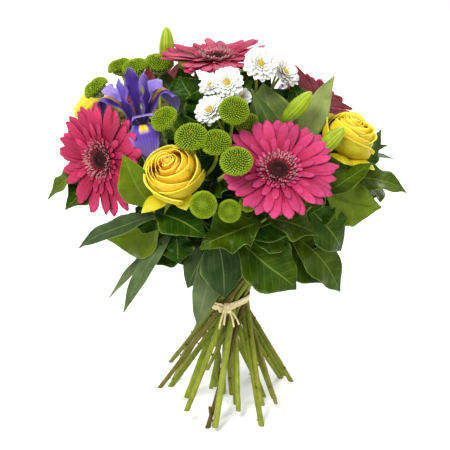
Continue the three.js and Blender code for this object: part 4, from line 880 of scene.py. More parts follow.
mum_floret_finish = mum_finish()
mum_stem_finish = stem_finish("green_mum_stem", 0.7, (148, 164, 36), (170, 178, 64), (100, 116, 28))
for seed, (name, spray) in enumerate(MUM_SPRAYS.items()):
    node = f"green_mum_spray_{name}"
    heads, stem = Growth(), Growth()
    fork = np.array(spray["fork"], float)
    lay_forked_stem(stem, cut_foot(node), fork, MUM_STEM, 0.25 + 0.5 * abs(scatter(3, seed)), 5)
    for number, (at, faces, size, *via) in enumerate(spray["heads"]):
        axes = head_axes(at, faces)
        lay_mum_head(heads, axes, size, seed * 9 + number, spray.get("flat", 1.0))
        route = branch_route(fork, axes, 7.5 * size, *via)
        lay_tube(stem, route, np.linspace(*MUM_BRANCH, len(route)), 8, 0.3)
        azimuth = round_about(MUM_BRACTS, 0.3)
        ray = level_rays(axes, azimuth)
        lay_blades(stem, head_point(axes, 2.0 * size, azimuth, -8.8 * size), ray + 0.35 * axes[3],
                   axes[3] - 0.3 * ray, 9.5 * size, 1.6 * size, [(0, 0.9), (0.5, 1), (1, 0.1)], bend=0.7,
                   thick=0.5, own=0.4)
    heads.piece(f"{node}_heads", mum_floret_finish, "green_mum", node)
    stem.piece(f"{node}_stem", mum_stem_finish, "green_mum", node)

# Two sprays of white double daisies: flat spoon petals in five rows round a small yellow eye, each
# head on its own thin branch from a forked green stem.

# Each head: its middle, the way it faces, its size.
DAISY_SPRAYS = {
    "front": dict(fork=(2, -30, 290), heads=[
        ((2, -54, 353), (-5, 28), 1.0), ((-13, -50, 350), (-30, 50), 0.8),
        ((-14, -68, 331), (-32, 42), 1.0), ((16, -46, 338), (10, 40), 0.6)]),
    "right": dict(fork=(36, -4, 294), heads=[
        ((33, -38, 367), (14, 34), 1.1), ((57, -6, 352), (48, 42), 1.1),
        ((54, 34, 350), (130, 60), 1.0)]),
}
DAISY_RADIUS, DAISY_ROOT, DAISY_STEM, DAISY_BRANCH = 13.5, 2.6, 2.1, (1.6, 1.2)
# Petal rows: count, reach as a share of the radius, rise, height of the root.
DAISY_ROWS = [(15, 1.13, 0.02, -0.9), (15, 1.08, 0.18, -0.4), (14, 0.92, 0.36, 0.0), (12, 0.7, 0.6, 0.4),
              (8, 0.48, 1.0, 0.7)]
DAISY_EYE_FLORETS = 46


def daisy_finish():
    finish = Finish("daisy_florets", roughness=0.55, Subsurface_Weight=0.1, Subsurface_Scale=0.003)
    along, across, own = finish.marks("growth")
    eye = finish.marks("skin")[1]
    white = finish.ramp(along, (0.0, dye(206, 212, 150)), (0.3, dye(244, 244, 228, 0.66)),
                        (1.0, dye(250, 250, 244, 0.7)))
    yellow = finish.ramp(along, (0.0, dye(196, 160, 20, 0.8)), (1.0, dye(250, 220, 60, 0.9)))
    colour = finish.mix(eye, white, yellow)
    line = finish.stripes(across, 8.0)
    colour = finish.mix(finish.ramp(line, (0.0, 0.14), (0.5, 0.0)), colour, dye(196, 200, 186))
    colour = finish.shade(colour, own, 0.94, 1.02)
    return finish.done(finish.mottle(colour, 300, 0.95, 1.03), line, 0.2)


def lay_daisy_head(head, axes, size, seed):
    """One daisy: rows of spoon petals, then an eye of tiny florets on a small dome."""
    for row, (count, reach, rise, height) in enumerate(DAISY_ROWS):
        pick = seed * 80 + row * 16 + np.arange(count)
        azimuth = round_about(count, 0.5 * row + 0.22 * scatter(1, pick))
        ray = level_rays(axes, azimuth)
        lift = (rise + 0.1 * scatter(2, pick))[:, None]
        length = size * (DAISY_RADIUS * reach - DAISY_ROOT) * (1 + 0.06 * scatter(3, pick))
        up = axes[3] - lift * ray + 0.15 * scatter(4, pick)[:, None] * np.cross(axes[3], ray)
        foot = head_point(axes, DAISY_ROOT * size, azimuth, height * size)
        lay_blades(head, foot, ray + lift * axes[3], up, length, size * (2.9 - 0.3 * row),
                   [(0, 0.4), (0.45, 0.8), (0.75, 1), (0.93, 0.8), (1, 0.4)],
                   bend=0.25 - 0.5 * np.abs(scatter(5, pick)) * (row < 2), cup=0.22, thick=0.4, rows=7,
                   cols=5, own=chance(6, pick))
    k, share, azimuth = spiral(DAISY_EYE_FLORETS)
    foot = head_point(axes, 2.7 * size * share, azimuth, size * (1.0 + 0.9 * (1 - share ** 2)))
    lay_buds(head, foot, axes[3] + 0.4 * (foot - axes[0]) / (3 * size), 1.0 * size, 0.3 * size,
             [(0, 1.0), (0.6, 1.0)], 5, chance(7, k), 1.0)
    lay_buds(head, head_point(axes, 0, 0, -2.0 * size), axes[3], 3.8 * size, 3.2 * size,
             [(0, 0.6), (0.4, 1), (0.8, 0.85)], 12, 0.0, 1.0)


daisy_floret_finish = daisy_finish()
daisy_stem_finish = stem_finish("daisy_stem", 0.7, (142, 160, 38), (164, 174, 64), (94, 112, 28))
for seed, (name, spray) in enumerate(DAISY_SPRAYS.items()):
    node = f"daisy_spray_{name}_stem"
    stem = Growth()
    fork = np.array(spray["fork"], float)
    lay_forked_stem(stem, cut_foot(node), fork, DAISY_STEM, 0.3 + 0.3 * seed)
    for number, (at, faces, size) in enumerate(spray["heads"]):
        axes = head_axes(at, faces)
        head = Growth()
        lay_daisy_head(head, axes, size, seed * 4 + number)
        head.piece(f"daisy_{name}_{number + 1}", daisy_floret_finish, "daisy_florets",
                   f"daisy_{name}_{number + 1}")
        route = branch_route(fork, axes, 2.9 * size)
        radii = np.append(np.linspace(*DAISY_BRANCH, len(route) - 1), 2.6 * size)
        lay_tube(stem, route, radii, 8, 0.3)
    stem.piece(node, daisy_stem_finish, "daisy_stem", node)

# Two lily stems with closed buds: three thick tepals pressed together, each with a raised rib, on
# short stalks off a firm stem, with smooth leaves that rise beside the buds.

# Each bud: foot, tip, size. Each leaf: place on the stem as a share, tip, width, the way it faces, shade
# from dark to olive.
LILIES = {
    "left": dict(
        fork=(-46, 34, 296),
        buds=[((-59, 50, 343), (-58, 54, 384), 1.0), ((-43, 64, 337), (-42, 67, 363), 0.75)],
        leaves=[(0.6, (-76, 48, 357), 20, (0, 60), 0.35), (0.35, (-28, 62, 338), 20, (160, 50), 0.3)]),
    "right": dict(
        fork=(48, -34, 272),
        buds=[((54, -45, 314), (80, -44, 342), 1.05), ((84, -58, 286), (110, -56, 311), 1.05)],
        leaves=[(0.8, (104, -6, 348), 27, (5, 20), 0.9), (0.8, (36, -18, 344), 50, (0, 20), 0.42),
                (0.75, (27, -64, 347), 22, (20, 10), 0.1)]),
}
LILY_GIRTH, LILY_STEM = 7.4, 3.0
BUD_GIRTH = [(0, 0.34), (0.2, 0.84), (0.5, 1), (0.8, 0.72), (0.95, 0.36), (1, 0.05)]
BUD_RINGS, BUD_SIDES = 26, 30
LEAF_THICKNESS, LEAF_ARCH = 0.9, 0.32
LEAF_ROWS = 52
# outline: half width along the leaf. press: how deep the veins lie. lengthwise: whether they run along it.
NARROW_LEAF = dict(outline=[(0, 0.12), (0.25, 0.7), (0.5, 1), (0.78, 0.62), (0.93, 0.22), (1, 0.03)],
                   fold=0.15, press=0.3, lengthwise=True)


def lily_bud_finish():
    finish = Finish("lily_bud", roughness=0.4, gloss=0.14)
    along, across, _ = finish.marks("growth")
    rib = finish.sum("ABSOLUTE", finish.sum("COSINE", finish.sum("MULTIPLY", across, 9.4248)))
    flesh = finish.ramp(along, (0.0, dye(118, 146, 20, 0.75)), (0.5, dye(160, 176, 30, 0.75)),
                        (1.0, dye(178, 196, 56, 0.75)))
    colour = finish.mix(finish.ramp(rib, (0.55, 0.0), (0.95, 0.75)), flesh, dye(112, 146, 16, 0.7))
    colour = finish.mix(finish.ramp(rib, (0.0, 0.8), (0.3, 0.0)), colour, dye(118, 98, 14))
    return finish.done(finish.mottle(colour, 150, 0.85, 1.12), finish.noise(500, 2, (1, 1, 0.2)), 0.2)


def leaf_finish(name, rough, gloss, *tones):
    """Leaf from its dark, olive, underside and vein tones, with a midrib, side veins and a pale rim that is a
    painted highlight.
    """
    finish = Finish(name, roughness=rough, gloss=gloss, Specular_Tint=(0.5, 0.8, 0.4, 1.0))
    dark, olive, below, pale = (dye(*tone) for tone in tones)
    _, across, own = finish.marks("growth")
    under, _, phase = finish.marks("skin")
    beside = finish.sum("ABSOLUTE", across)
    colour = finish.mix(own, dark, olive)
    patch = finish.ramp(finish.noise(45, 4), (0.45, 0.0), (0.8, 0.22))
    colour = finish.mix(patch, colour, olive)
    colour = finish.mix(finish.sum("MULTIPLY", under, 0.85), colour, below)
    line = finish.sum("ABSOLUTE", finish.sum("SUBTRACT", finish.sum("FRACT", phase), 0.5))
    line = finish.ramp(line, (0.0, 1.0), (0.07, 0.0))
    rib = finish.ramp(beside, (0.012, 1.0), (0.05, 0.0))
    veins = finish.mix(1.0, finish.sum("MULTIPLY", line, 0.34), rib, "LIGHTEN")
    colour = finish.mix(finish.sum("MULTIPLY", veins, 0.6), colour, pale)
    # Painted highlight: a pale band along the rim of each leaf.
    colour = finish.mix(finish.ramp(beside, (0.93, 0.0), (1.0, 0.7)), colour, pale)
    relief = finish.sum("MULTIPLY", finish.sum("SUBTRACT", finish.noise(900, 2), veins), 0.5)
    return finish.done(finish.mottle(colour, 90, 0.74, 1.14), relief, 0.35, 0.0006,
                       rough=finish.uneven(250, rough - 0.08, rough + 0.12))


def lay_lily_bud(buds, start, tip, girth):
    """One closed bud: three full sides, each with a narrow raised rib."""
    share = np.linspace(0, 1, BUD_RINGS)
    wide = girth * smooth_through(BUD_GIRTH, share)
    lean = unit(tip - start)
    side = unit(np.cross([0, 1.0, 0], lean))
    other = np.cross(lean, side)
    angle = round_about(BUD_SIDES)
    rib = np.exp(-((np.mod(angle * 3 / np.pi / 2 + 0.5, 1) - 0.5) / 0.1) ** 2)
    lobes = 1 + 0.07 * np.cos(3 * angle) + 0.05 * rib
    rings = (start + np.outer(share, tip - start))[:, None] + (wide[:, None] * lobes)[..., None] * (
        np.cos(angle)[:, None] * side + np.sin(angle)[:, None] * other)
    points = np.concatenate([rings.reshape(-1, 3), [start, tip]])
    growth = np.zeros(points.shape)
    growth[:-2, 0] = np.repeat(share, BUD_SIDES)
    growth[-1, 0] = 1
    growth[:-2, 1] = np.tile(np.mod(angle / np.pi + 1, 2) - 1, BUD_RINGS)
    k = np.arange(BUD_SIDES)
    after = (k + 1) % BUD_SIDES
    last, foot = BUD_SIDES * (BUD_RINGS - 1), BUD_SIDES * BUD_RINGS
    ends = np.concatenate([np.stack([after, k, np.full(BUD_SIDES, foot)], -1),
                           np.stack([last + k, last + after, np.full(BUD_SIDES, foot + 1)], -1)])
    buds.add(points, growth, np.zeros(3), ring_quads(BUD_SIDES, BUD_RINGS), ends)


def lay_leaf(leaves, base, tip, width, faces, shade, kind, seed, wave=1.0, rows=LEAF_ROWS):
    """One leaf from its foot on the twig to its tip, arched and folded, with a ruffled rim, side veins
    pressed in and a rib that stands out below."""
    s, v = np.linspace(0, 1, rows)[:, None], np.linspace(-1, 1, 13)[None]
    base, tip = np.array(base, float), np.array(tip, float)
    run = tip - base
    length = np.linalg.norm(run)
    ahead = run / length
    up = facing(*faces)
    up = unit(up - ahead * (up @ ahead))
    side = np.cross(up, ahead)
    a, b, c = scatter(seed, 1), scatter(seed, 2), scatter(seed, 3)
    swell = np.sin(2 * np.pi * ((2.6 + a) * s + 0.25 * np.sign(v) + b))
    ruffle = 0.17 * wave * swell * np.abs(v) ** 2 * np.sin(np.pi * s) ** 0.5
    teeth = 0.0 if kind["lengthwise"] else 0.02 * np.mod(13 * s, 1)
    half = 0.5 * width * smooth_through(kind["outline"], s)
    half = half * (1 + 0.035 * wave * np.sin(2 * np.pi * (3.4 * s + c + 0.3 * np.sign(v))) + teeth)
    if kind["lengthwise"]:
        phase = np.abs(v) * 4.0 + 0 * s
    else:
        phase = (s * length - 0.75 * np.abs(v) * half) / (0.11 * length + 1)
    press = np.exp(-((np.mod(phase, 1) - 0.5) / 0.16) ** 2) * (1 - v ** 4) * np.minimum(1, np.abs(v) * 4)
    lift = half * (kind["fold"] * np.abs(v) ** 1.4 + ruffle) - kind["press"] * press * (np.abs(v) > 0.05)
    twist = 0.22 * a * s ** 2 * v * half
    curl = -0.05 * length * (0.6 + c) * np.clip(s - 0.6, 0, 1) ** 2 / 0.16
    arch = LEAF_ARCH * length * s * (1 - s) + curl
    bend = 0.05 * length * b * np.sin(np.pi * s) ** 2
    top = (base + run * s[..., None] + up * (arch + lift + twist)[..., None]
           + side * (half * v + bend)[..., None])
    lay_sheets(leaves, top[None], LEAF_THICKNESS, shade, vein=phase[None])
    ribs = np.arange(0, int(rows * 0.9), 2)
    centre = (base + run * s[ribs] + up * arch[ribs] + side * bend[ribs]) - up * 1.2
    lay_tube(leaves, centre, np.linspace(1.15, 0.4, len(ribs)), 7, shade)


lily_leaf_finish = leaf_finish("lily_leaf", 0.32, 0.16, (30, 66, 4), (150, 164, 90), (116, 134, 36),
                               (156, 174, 96))
lily_stem_finish = stem_finish("lily_stem", 0.7, (150, 172, 34), (172, 184, 58), (106, 130, 26))
bud_finish = lily_bud_finish()
for seed, (name, plan) in enumerate(LILIES.items()):
    node = f"lily_{name}"
    stem, buds, leaves = Growth(), Growth(), Growth()
    fork = np.array(plan["fork"], float)
    foot = cut_foot(node)
    lay_forked_stem(stem, foot, fork, LILY_STEM, 0.3)
    for start, tip, size in plan["buds"]:
        start, tip = np.array(start, float), np.array(tip, float)
        lean = unit(tip - start)
        stalk = bezier(fork, start - 18 * lean, start + 2 * lean, 14)
        lay_tube(stem, stalk, np.append(np.linspace(2.1, 1.7, len(stalk) - 1), 2.4), 9, 0.2)
        lay_lily_bud(buds, start, tip, LILY_GIRTH * size)
    waist = foot + (fork - foot) * (BINDING_HEIGHT - foot[2]) / (fork[2] - foot[2])
    below = fork + 0.35 * (waist - fork)
    above = fork + 12 * unit(fork - below)
    for number, (along, *leaf) in enumerate(plan["leaves"]):
        lay_leaf(leaves, below + along * (above - below), *leaf, NARROW_LEAF, 900 + seed * 9 + number, 0.6)
    stem.piece(f"{node}_stem", lily_stem_finish, "lily_bud", node)
    buds.piece(f"{node}_buds", bud_finish, "lily_bud", node)
    leaves.piece(f"{node}_leaves", lily_leaf_finish, "lily_bud", node)

# Ten leafy stems that collar and fill the bunch: glossy leathery leaves with a pale midrib, a wavy
# rim and a lighter olive underside, each on a woody twig.

# Each leaf: place on the twig as a share, tip, width, the way it faces, shade from dark to olive and,
# for some, how much it ruffles.
BROAD_STEMS = {
    "front_low": dict(twig=[(6, -62, 186), (10, -92, 214), (38, -100, 238)], leaves=[
        (0.5, (68, -95, 166), 56, (10, 42), 0.1), (1, (85, -105, 224), 38, (20, 58), 0.15, 1.8),
        (0.92, (-23, -121, 218), 42, (-4, 50), 0.14, 2.2), (0.7, (62, -84, 206), 36, (10, 42), 0.1)]),
    "front_right": dict(twig=[(34, -50, 186), (58, -74, 214), (76, -78, 238), (94, -68, 251)], leaves=[
        (0.36, (112, -62, 149), 42, (28, 32), 0.2), (0.7, (112, -74, 196), 46, (22, 38), 0.05, 0.6),
        (1, (146, -58, 233), 46, (200, -28), 0.5, 0.6), (0.9, (139, -45, 273), 24, (10, 60), 0.2),
        (0.5, (102, -54, 247), 38, (12, 45), 0.1)]),
    "front_centre": dict(twig=[(-8, -40, 222), (-14, -54, 246), (-12, -62, 260)], bark=0.6, leaves=[
        (1, (-34, -72, 286), 38, (-15, 35), 0.0), (0.8, (14, -88, 276), 38, (8, 40), 0.0),
        (0.5, (-34, -98, 238), 32, (-12, 48), 0.1)]),
    "right": dict(twig=[(62, -18, 205), (96, -24, 238), (118, -26, 253)], bark=0.7, leaves=[
        (1, (176, -30, 242), 34, (20, 62), 0.25), (0.8, (162, 10, 226), 44, (80, 40), 0.2),
        (0.5, (130, 16, 190), 44, (70, 38), 0.1), (0.95, (153, 8, 292), 28, (40, 8), 0.1),
        (0.8, (98, -36, 300), 38, (5, 20), 0.2), (0.6, (120, 32, 258), 44, (95, 35), 0.1)]),
    "back_right": dict(twig=[(52, 46, 212), (86, 76, 238), (98, 92, 246)], bark=1.0, leaves=[
        (0.8, (148, 76, 220), 44, (110, 45), 0.2), (1, (112, 136, 226), 42, (140, 45), 0.1),
        (0.5, (72, 126, 190), 50, (150, 30), 0.2), (0.95, (146, 96, 268), 36, (125, 50), 0.1)]),
    "left_low": dict(twig=[(-28, -52, 192), (-56, -76, 222), (-66, -96, 246)], leaves=[
        (0.6, (-112, -54, 200), 48, (165, -30), 0.6), (0.9, (-17, -119, 228), 38, (-8, 52), 0.0),
        (1, (-90, -109, 299), 34, (-8, 25), 0.6)]),
    "left": dict(twig=[(-60, -18, 212), (-100, -24, 244), (-126, -20, 264)], bark=0.75, leaves=[
        (1, (-170, -38, 235), 26, (-40, 55), 0.4), (0.75, (-153, -42, 226), 38, (-30, 50), 0.1),
        (0.97, (-149, -16, 311), 34, (-70, 15), 0.1), (0.7, (-150, 26, 228), 42, (-100, 45), 0.2),
        (0.5, (-116, 34, 256), 44, (-95, 35), 0.1)]),
    "back_left": dict(twig=[(-46, 44, 210), (-78, 72, 238), (-90, 90, 250)], leaves=[
        (0.8, (-138, 84, 226), 44, (-120, 45), 0.1), (1, (-98, 136, 232), 42, (-145, 45), 0.3),
        (0.5, (-60, 122, 190), 48, (-150, 30), 0.1), (0.95, (-146, 74, 268), 36, (-120, 50), 0.2)]),
    "back": dict(twig=[(8, 58, 205), (12, 92, 232), (14, 108, 242)], leaves=[
        (0.9, (56, 142, 214), 44, (165, 45), 0.1), (1, (-20, 147, 222), 44, (-170, 45), 0.2),
        (0.5, (12, 124, 178), 50, (180, 30), 0.1)]),
    "centre": dict(twig=[(-10, -4, 250), (-16, -12, 286), (-20, -12, 306)], leaves=[
        (1, (-44, 4, 345), 44, (-10, 15), 0.0), (0.85, (-10, -14, 343), 44, (0, 15), 0.05),
        (0.6, (-54, -50, 302), 40, (-20, 35), 0.0), (0.6, (10, -38, 324), 40, (5, 35), 0.0),
        (0.5, (34, 22, 326), 40, (20, 40), 0.1)]),
}
LEAFY_STEM, SCARS = 2.3, 5
BROAD_LEAF = dict(outline=[(0, 0.05), (0.14, 0.42), (0.38, 0.98), (0.6, 0.92), (0.8, 0.54), (0.93, 0.18),
                           (1, 0.01)], fold=0.12, press=0.6, lengthwise=False)
INNER_LEAF_ROWS = 32
# Small leaves deep inside the bunch, on the same twigs, laid out in the same way, nearly all in the darkest
# leaf tone: part foliage, part dark sheets that stand in as painted shade in the gaps of the bunch's shaded
# inside.
INNER_LEAVES = {
    "centre": [
        (0.6, (-46, 26, 350), 40, (-10, 20), 0.0), (0.3, (-64, -30, 316), 34, (-20, 40), 0.0),
        (0.4, (46, -14, 330), 40, (10, 35), 0.0), (0.7, (26, -12, 346), 34, (10, 30), 0.05),
        (0.5, (66, 8, 332), 40, (30, 35), 0.0), (0.2, (44, -30, 300), 40, (10, 35), 0.0),
        (0.3, (-40, 34, 330), 36, (-30, 60), 0.0), (0.9, (28, 8, 350), 46, (8, 25), 0.0),
        (0.8, (4, 2, 348), 44, (0, 25), 0.0), (0.1, (-46, 24, 268), 44, (0, 85), 0.0),
        (0.1, (30, 20, 266), 44, (0, 85), 0.0), (0.1, (-12, 42, 262), 44, (0, 85), 0.0)],
    "front_centre": [
        (0.4, (-52, -34, 312), 44, (-10, 30), 0.0), (0.2, (-8, -88, 224), 34, (-4, 40), 0.0),
        (0.5, (24, -84, 246), 34, (6, 40), 0.0), (0.3, (-52, -72, 244), 32, (-20, 35), 0.0),
        (0.8, (-30, -62, 308), 38, (-5, 25), 0.0), (0.1, (48, -60, 236), 38, (8, 30), 0.0),
        (0.2, (20, -30, 262), 40, (0, 80), 0.0)],
    "front_low": [
        (0.1, (-22, -82, 196), 34, (-6, 35), 0.0), (0.0, (-34, -44, 236), 42, (-5, 25), 0.0),
        (0.6, (76, -84, 236), 36, (14, 40), 0.0), (0.5, (10, -62, 248), 40, (0, 80), 0.0)],
    "left_low": [
        (0.05, (-74, -60, 180), 38, (-20, 40), 0.05), (0.1, (-50, -56, 178), 34, (-10, 35), 0.0),
        (0.3, (-44, -80, 186), 34, (-16, 40), 0.0), (0.5, (-84, -70, 238), 34, (-24, 35), 0.0),
        (0.2, (-84, -60, 224), 38, (-15, 30), 0.0), (0.4, (-24, -34, 258), 42, (0, 80), 0.0)],
    "front_right": [
        (0.2, (98, -50, 208), 40, (16, 40), 0.0), (0.3, (92, -66, 160), 44, (20, 35), 0.1),
        (0.5, (92, -62, 282), 32, (14, 40), 0.0), (0.2, (62, -70, 190), 36, (16, 40), 0.0),
        (0.4, (34, -24, 258), 44, (0, 80), 0.0)],
    "left": [
        (0.2, (-90, -22, 318), 44, (-20, 30), 0.0), (0.4, (-74, -34, 286), 36, (-20, 35), 0.0),
        (0.6, (-124, -10, 290), 36, (-50, 35), 0.0), (0.3, (-44, 8, 264), 46, (0, 85), 0.0),
        (0.5, (-96, 22, 274), 44, (-60, 75), 0.0)],
    "right": [
        (0.6, (110, -20, 286), 34, (20, 35), 0.0), (0.5, (64, 2, 342), 54, (10, 25), 0.0),
        (0.4, (84, 0, 290), 38, (30, 45), 0.0), (0.2, (36, -12, 262), 46, (0, 85), 0.0),
        (0.4, (84, 30, 262), 46, (40, 80), 0.0)],
    "back_left": [
        (0.5, (-84, 60, 300), 40, (-130, 50), 0.0), (0.4, (-56, 74, 296), 38, (-150, 50), 0.0),
        (0.2, (-60, 12, 262), 46, (0, 85), 0.0), (0.3, (-34, 70, 254), 44, (0, 85), 0.0)],
    "back_right": [
        (0.5, (80, 70, 292), 40, (130, 50), 0.0), (0.4, (44, 70, 300), 38, (160, 50), 0.0),
        (0.2, (66, 12, 264), 46, (0, 85), 0.0), (0.3, (34, 66, 256), 46, (0, 85), 0.0)],
    "back": [
        (0.5, (-24, 100, 286), 40, (-170, 45), 0.0), (1, (44, 62, 338), 50, (0, 30), 0.0),
        (0.4, (22, 84, 300), 38, (175, 50), 0.0), (0.2, (-20, 30, 262), 46, (0, 85), 0.0),
        (0.2, (34, 34, 260), 46, (0, 85), 0.0)],
}


def twig_points(knots, shares):
    """Points at shares of the smooth line through a twig's knots."""
    knots = np.array(knots, float)
    full = np.concatenate([[2 * knots[0] - knots[1]], knots, [2 * knots[-1] - knots[-2]]])
    place = np.asarray(shares, float) * (len(knots) - 1)
    spot = np.clip(place.astype(int), 0, len(knots) - 2)
    t = (place - spot)[:, None]
    a, b, c, d = (full[spot + step] for step in range(4))
    return 0.5 * (2 * b + (c - a) * t + (2 * a - 5 * b + 4 * c - d) * t ** 2
                  + (3 * b - a - 3 * c + d) * t ** 3)


def lay_leafy_stem(stem, foot, knots, thick, seed, bark):
    """A twig from its cut foot through its knots, with joints and the scars of lost leaves."""
    first = np.array(knots[0], float)
    way = unit(first - foot)
    tied.append((foot, way, thick))
    low = straight(foot, first - 8 * way, 6)
    high = twig_points(knots, np.linspace(0, 1, 13)[1:])
    route = np.concatenate([low, high])
    share = np.linspace(0, 1, len(route))
    joint = np.exp(-((np.mod(share * 6.5 + scatter(seed, 1), 1) - 0.5) / 0.07) ** 2)
    radii = np.concatenate([np.full(len(low), thick), np.linspace(thick * 0.85, 1.1, len(high))])
    lay_tube(stem, route, radii * (1 + 0.16 * joint), 10, chance(seed, 2), bark, level=foot[2])
    k = np.arange(SCARS)
    spot = low[0] + (low[-1] - low[0]) * ((k + 0.7 + 0.2 * scatter(seed, k)) / 8)[:, None]
    scar = round_stem(way, np.pi * k + seed)
    lay_buds(stem, spot + scar * (thick - 0.9), scar + 0.5 * way, 2.6, 1.5,
             [(0, 1), (0.5, 0.9), (0.85, 0.6)], 6, 0.8, 0.9)


broad_finish = leaf_finish("broad_leaf", 0.32, 0.12, (30, 66, 2), (122, 140, 14), (104, 126, 28),
                           (144, 166, 70))
broad_stem_finish = stem_finish("broad_leaf_stem", 0.7, (140, 152, 34), (164, 166, 56), (94, 98, 28))
for seed, (name, plan) in enumerate(BROAD_STEMS.items()):
    node = f"broad_leaf_stem_{name}"
    stem, leaves = Growth(), Growth()
    foot = cut_foot(node)
    lay_leafy_stem(stem, foot, plan["twig"], LEAFY_STEM, seed + 20, plan.get("bark", 0.15))
    if name == "back_right":
        # A torn strip of bark beside this twig's cut end, a few millimetres clear of the twig.
        torn = bezier(foot + [2.2, 0, 24], foot + [2.0, -2.0, 8], foot + [9.5, -2.5, 3.5], 10)
        lay_tube(stem, torn, np.linspace(1.5, 0.7, len(torn)), 7, 0.7, 1.0)
    # Each twig's own leaves, then its inner leaves, the dark ones that also stand in as painted shade inside
    # the bunch.
    for number, (along, tip, width, faces, shade, *wave) in enumerate(plan["leaves"] + INNER_LEAVES[name]):
        base = twig_points(plan["twig"], [along])[0]
        rows = LEAF_ROWS if number < len(plan["leaves"]) else INNER_LEAF_ROWS
        lay_leaf(leaves, base, tip, width, faces, shade, BROAD_LEAF, seed * 11 + number, *(wave or [1.0]),
                 rows=rows)
    stem.piece(f"{node}_twig", broad_stem_finish, "broad_leaf", node)
    leaves.piece(f"{node}_leaves", broad_finish, "broad_leaf", node)

# Four stems with long grey-green leaves that hang and trail out of the collar; matt skin with fine
# veins that run lengthwise.

NARROW_STEMS = {
    "left": dict(twig=[(-38, -42, 196), (-50, -72, 224), (-60, -92, 238)], leaves=[
        (1, (-139, -75, 201), 24, (-10, 60), 0.2), (0.35, (-97, -90, 140), 17, (-25, 25), 0.45),
        (0.05, (-112, -60, 142), 15, (-40, 50), 1.0)]),
    "front": dict(twig=[(-12, -38, 178), (-14, -68, 200), (-6, -86, 222)], leaves=[
        (0.55, (-27, -80, 121), 26, (-4, 22), 0.6), (0.9, (0, -94, 156), 44, (8, 24), 0.1),
        (0.6, (-36, -74, 158), 26, (-16, 32), 0.2)]),
    "right": dict(twig=[(70, 14, 222), (106, 14, 250), (132, 10, 262)], leaves=[
        (1, (159, 4, 277), 10, (0, 60), 0.3), (0.8, (172, 44, 250), 24, (110, 50), 0.4),
        (0.5, (140, 50, 188), 24, (110, 40), 0.3)]),
    "back": dict(twig=[(-14, 58, 212), (-34, 92, 230), (-44, 106, 238)], leaves=[
        (1, (-68, 146, 200), 24, (-160, 45), 0.4), (0.7, (-8, 144, 160), 24, (-175, 35), 0.5),
        (0.4, (-60, 112, 152), 20, (-150, 35), 0.3)]),
}
NARROW_STEM = 1.9
narrow_finish = leaf_finish("narrow_leaf", 0.36, 0.12, (24, 56, 6), (122, 138, 92), (126, 148, 58),
                            (140, 160, 100))
narrow_stem_finish = stem_finish("narrow_leaf_stem", 0.8, (130, 142, 48), (152, 158, 68), (92, 88, 34))
for seed, (name, plan) in enumerate(NARROW_STEMS.items()):
    node = f"narrow_leaf_stem_{name}"
    stem, leaves = Growth(), Growth()
    lay_leafy_stem(stem, cut_foot(node), plan["twig"], NARROW_STEM, seed + 50, 0.3)
    for number, (along, *leaf) in enumerate(plan["leaves"]):
        base = twig_points(plan["twig"], [along])[0]
        lay_leaf(leaves, base, *leaf, NARROW_LEAF, 400 + seed * 11 + number, 0.8)
    stem.piece(f"{node}_twig", narrow_stem_finish, "narrow_leaf", node)
    leaves.piece(f"{node}_leaves", narrow_finish, "narrow_leaf", node)

# Flat raffia strands wound tight round all the stems, crossed and knotted at the front, with four
# ends left hanging.

RAFFIA_WIDTH, RAFFIA_TURNS, RAFFIA_SPREAD = 2.6, 6, 2.8
# The knot: shift and lean of each loop, reach and rise of each ear, and where each loose end stops.
KNOT_LOOPS = [(-2.6, 0.9), (-1.0, 0.2), (0.8, -0.5), (2.4, -1.2)]
KNOT_EARS = [(-9.5, 4.5), (8.5, 5.5)]
LOOSE_ENDS = [(-8, -3, -22), (12, -5, -16), (-3, -4.5, -17), (7, -2.5, -20)]


def girdle(height, clear):
    """A strand's line drawn tight round all the stems at a height."""
    angle = np.linspace(0, 2 * np.pi, 145)
    outward = np.stack([np.cos(angle), np.sin(angle)], -1)
    middles = np.array([(foot + way * (height - foot[2]) / way[2])[:2] for foot, way, _ in tied])
    thick = np.array([1.12 * radius for _, _, radius in tied])
    outer = (middles @ outward.T + thick[:, None]).argmax(0)
    line = middles[outer] + (thick[outer] + clear)[:, None] * outward
    runs = np.concatenate([[0], np.cumsum(np.linalg.norm(np.diff(line, axis=0), axis=1) + 1e-6)])
    even = np.linspace(0, runs[-1], 91)
    return np.stack([np.interp(even, runs, line[:, 0]), np.interp(even, runs, line[:, 1])], -1)


def raffia_finish():
    finish = Finish("raffia", roughness=0.7)
    _, across, own = finish.marks("growth")
    fibre = finish.stripes(across, 16.0)
    colour = finish.mix(fibre, dye(212, 188, 126, 0.9), dye(240, 224, 176, 0.9))
    colour = finish.shade(colour, own, 0.82, 1.1)
    return finish.done(finish.mottle(colour, 200, 0.84, 1.08), fibre, 0.4, rough=finish.uneven(500, 0.6, 0.8))


def lay_strand(raffia, route, outward, half, own):
    """A flat strand along a route, with its broad face outward."""
    route = np.asarray(route, float)
    way = unit(np.gradient(route, axis=0))
    outward = unit(outward - way * (way * outward).sum(-1, keepdims=True))
    side = np.cross(outward, way)
    v = np.linspace(-1, 1, 5)
    grid = (route[:, None] + half * v[None, :, None] * side[:, None]
            - outward[:, None] * (0.18 * v ** 2)[None, :, None])
    lay_sheets(raffia, grid[None], 0.5, own)


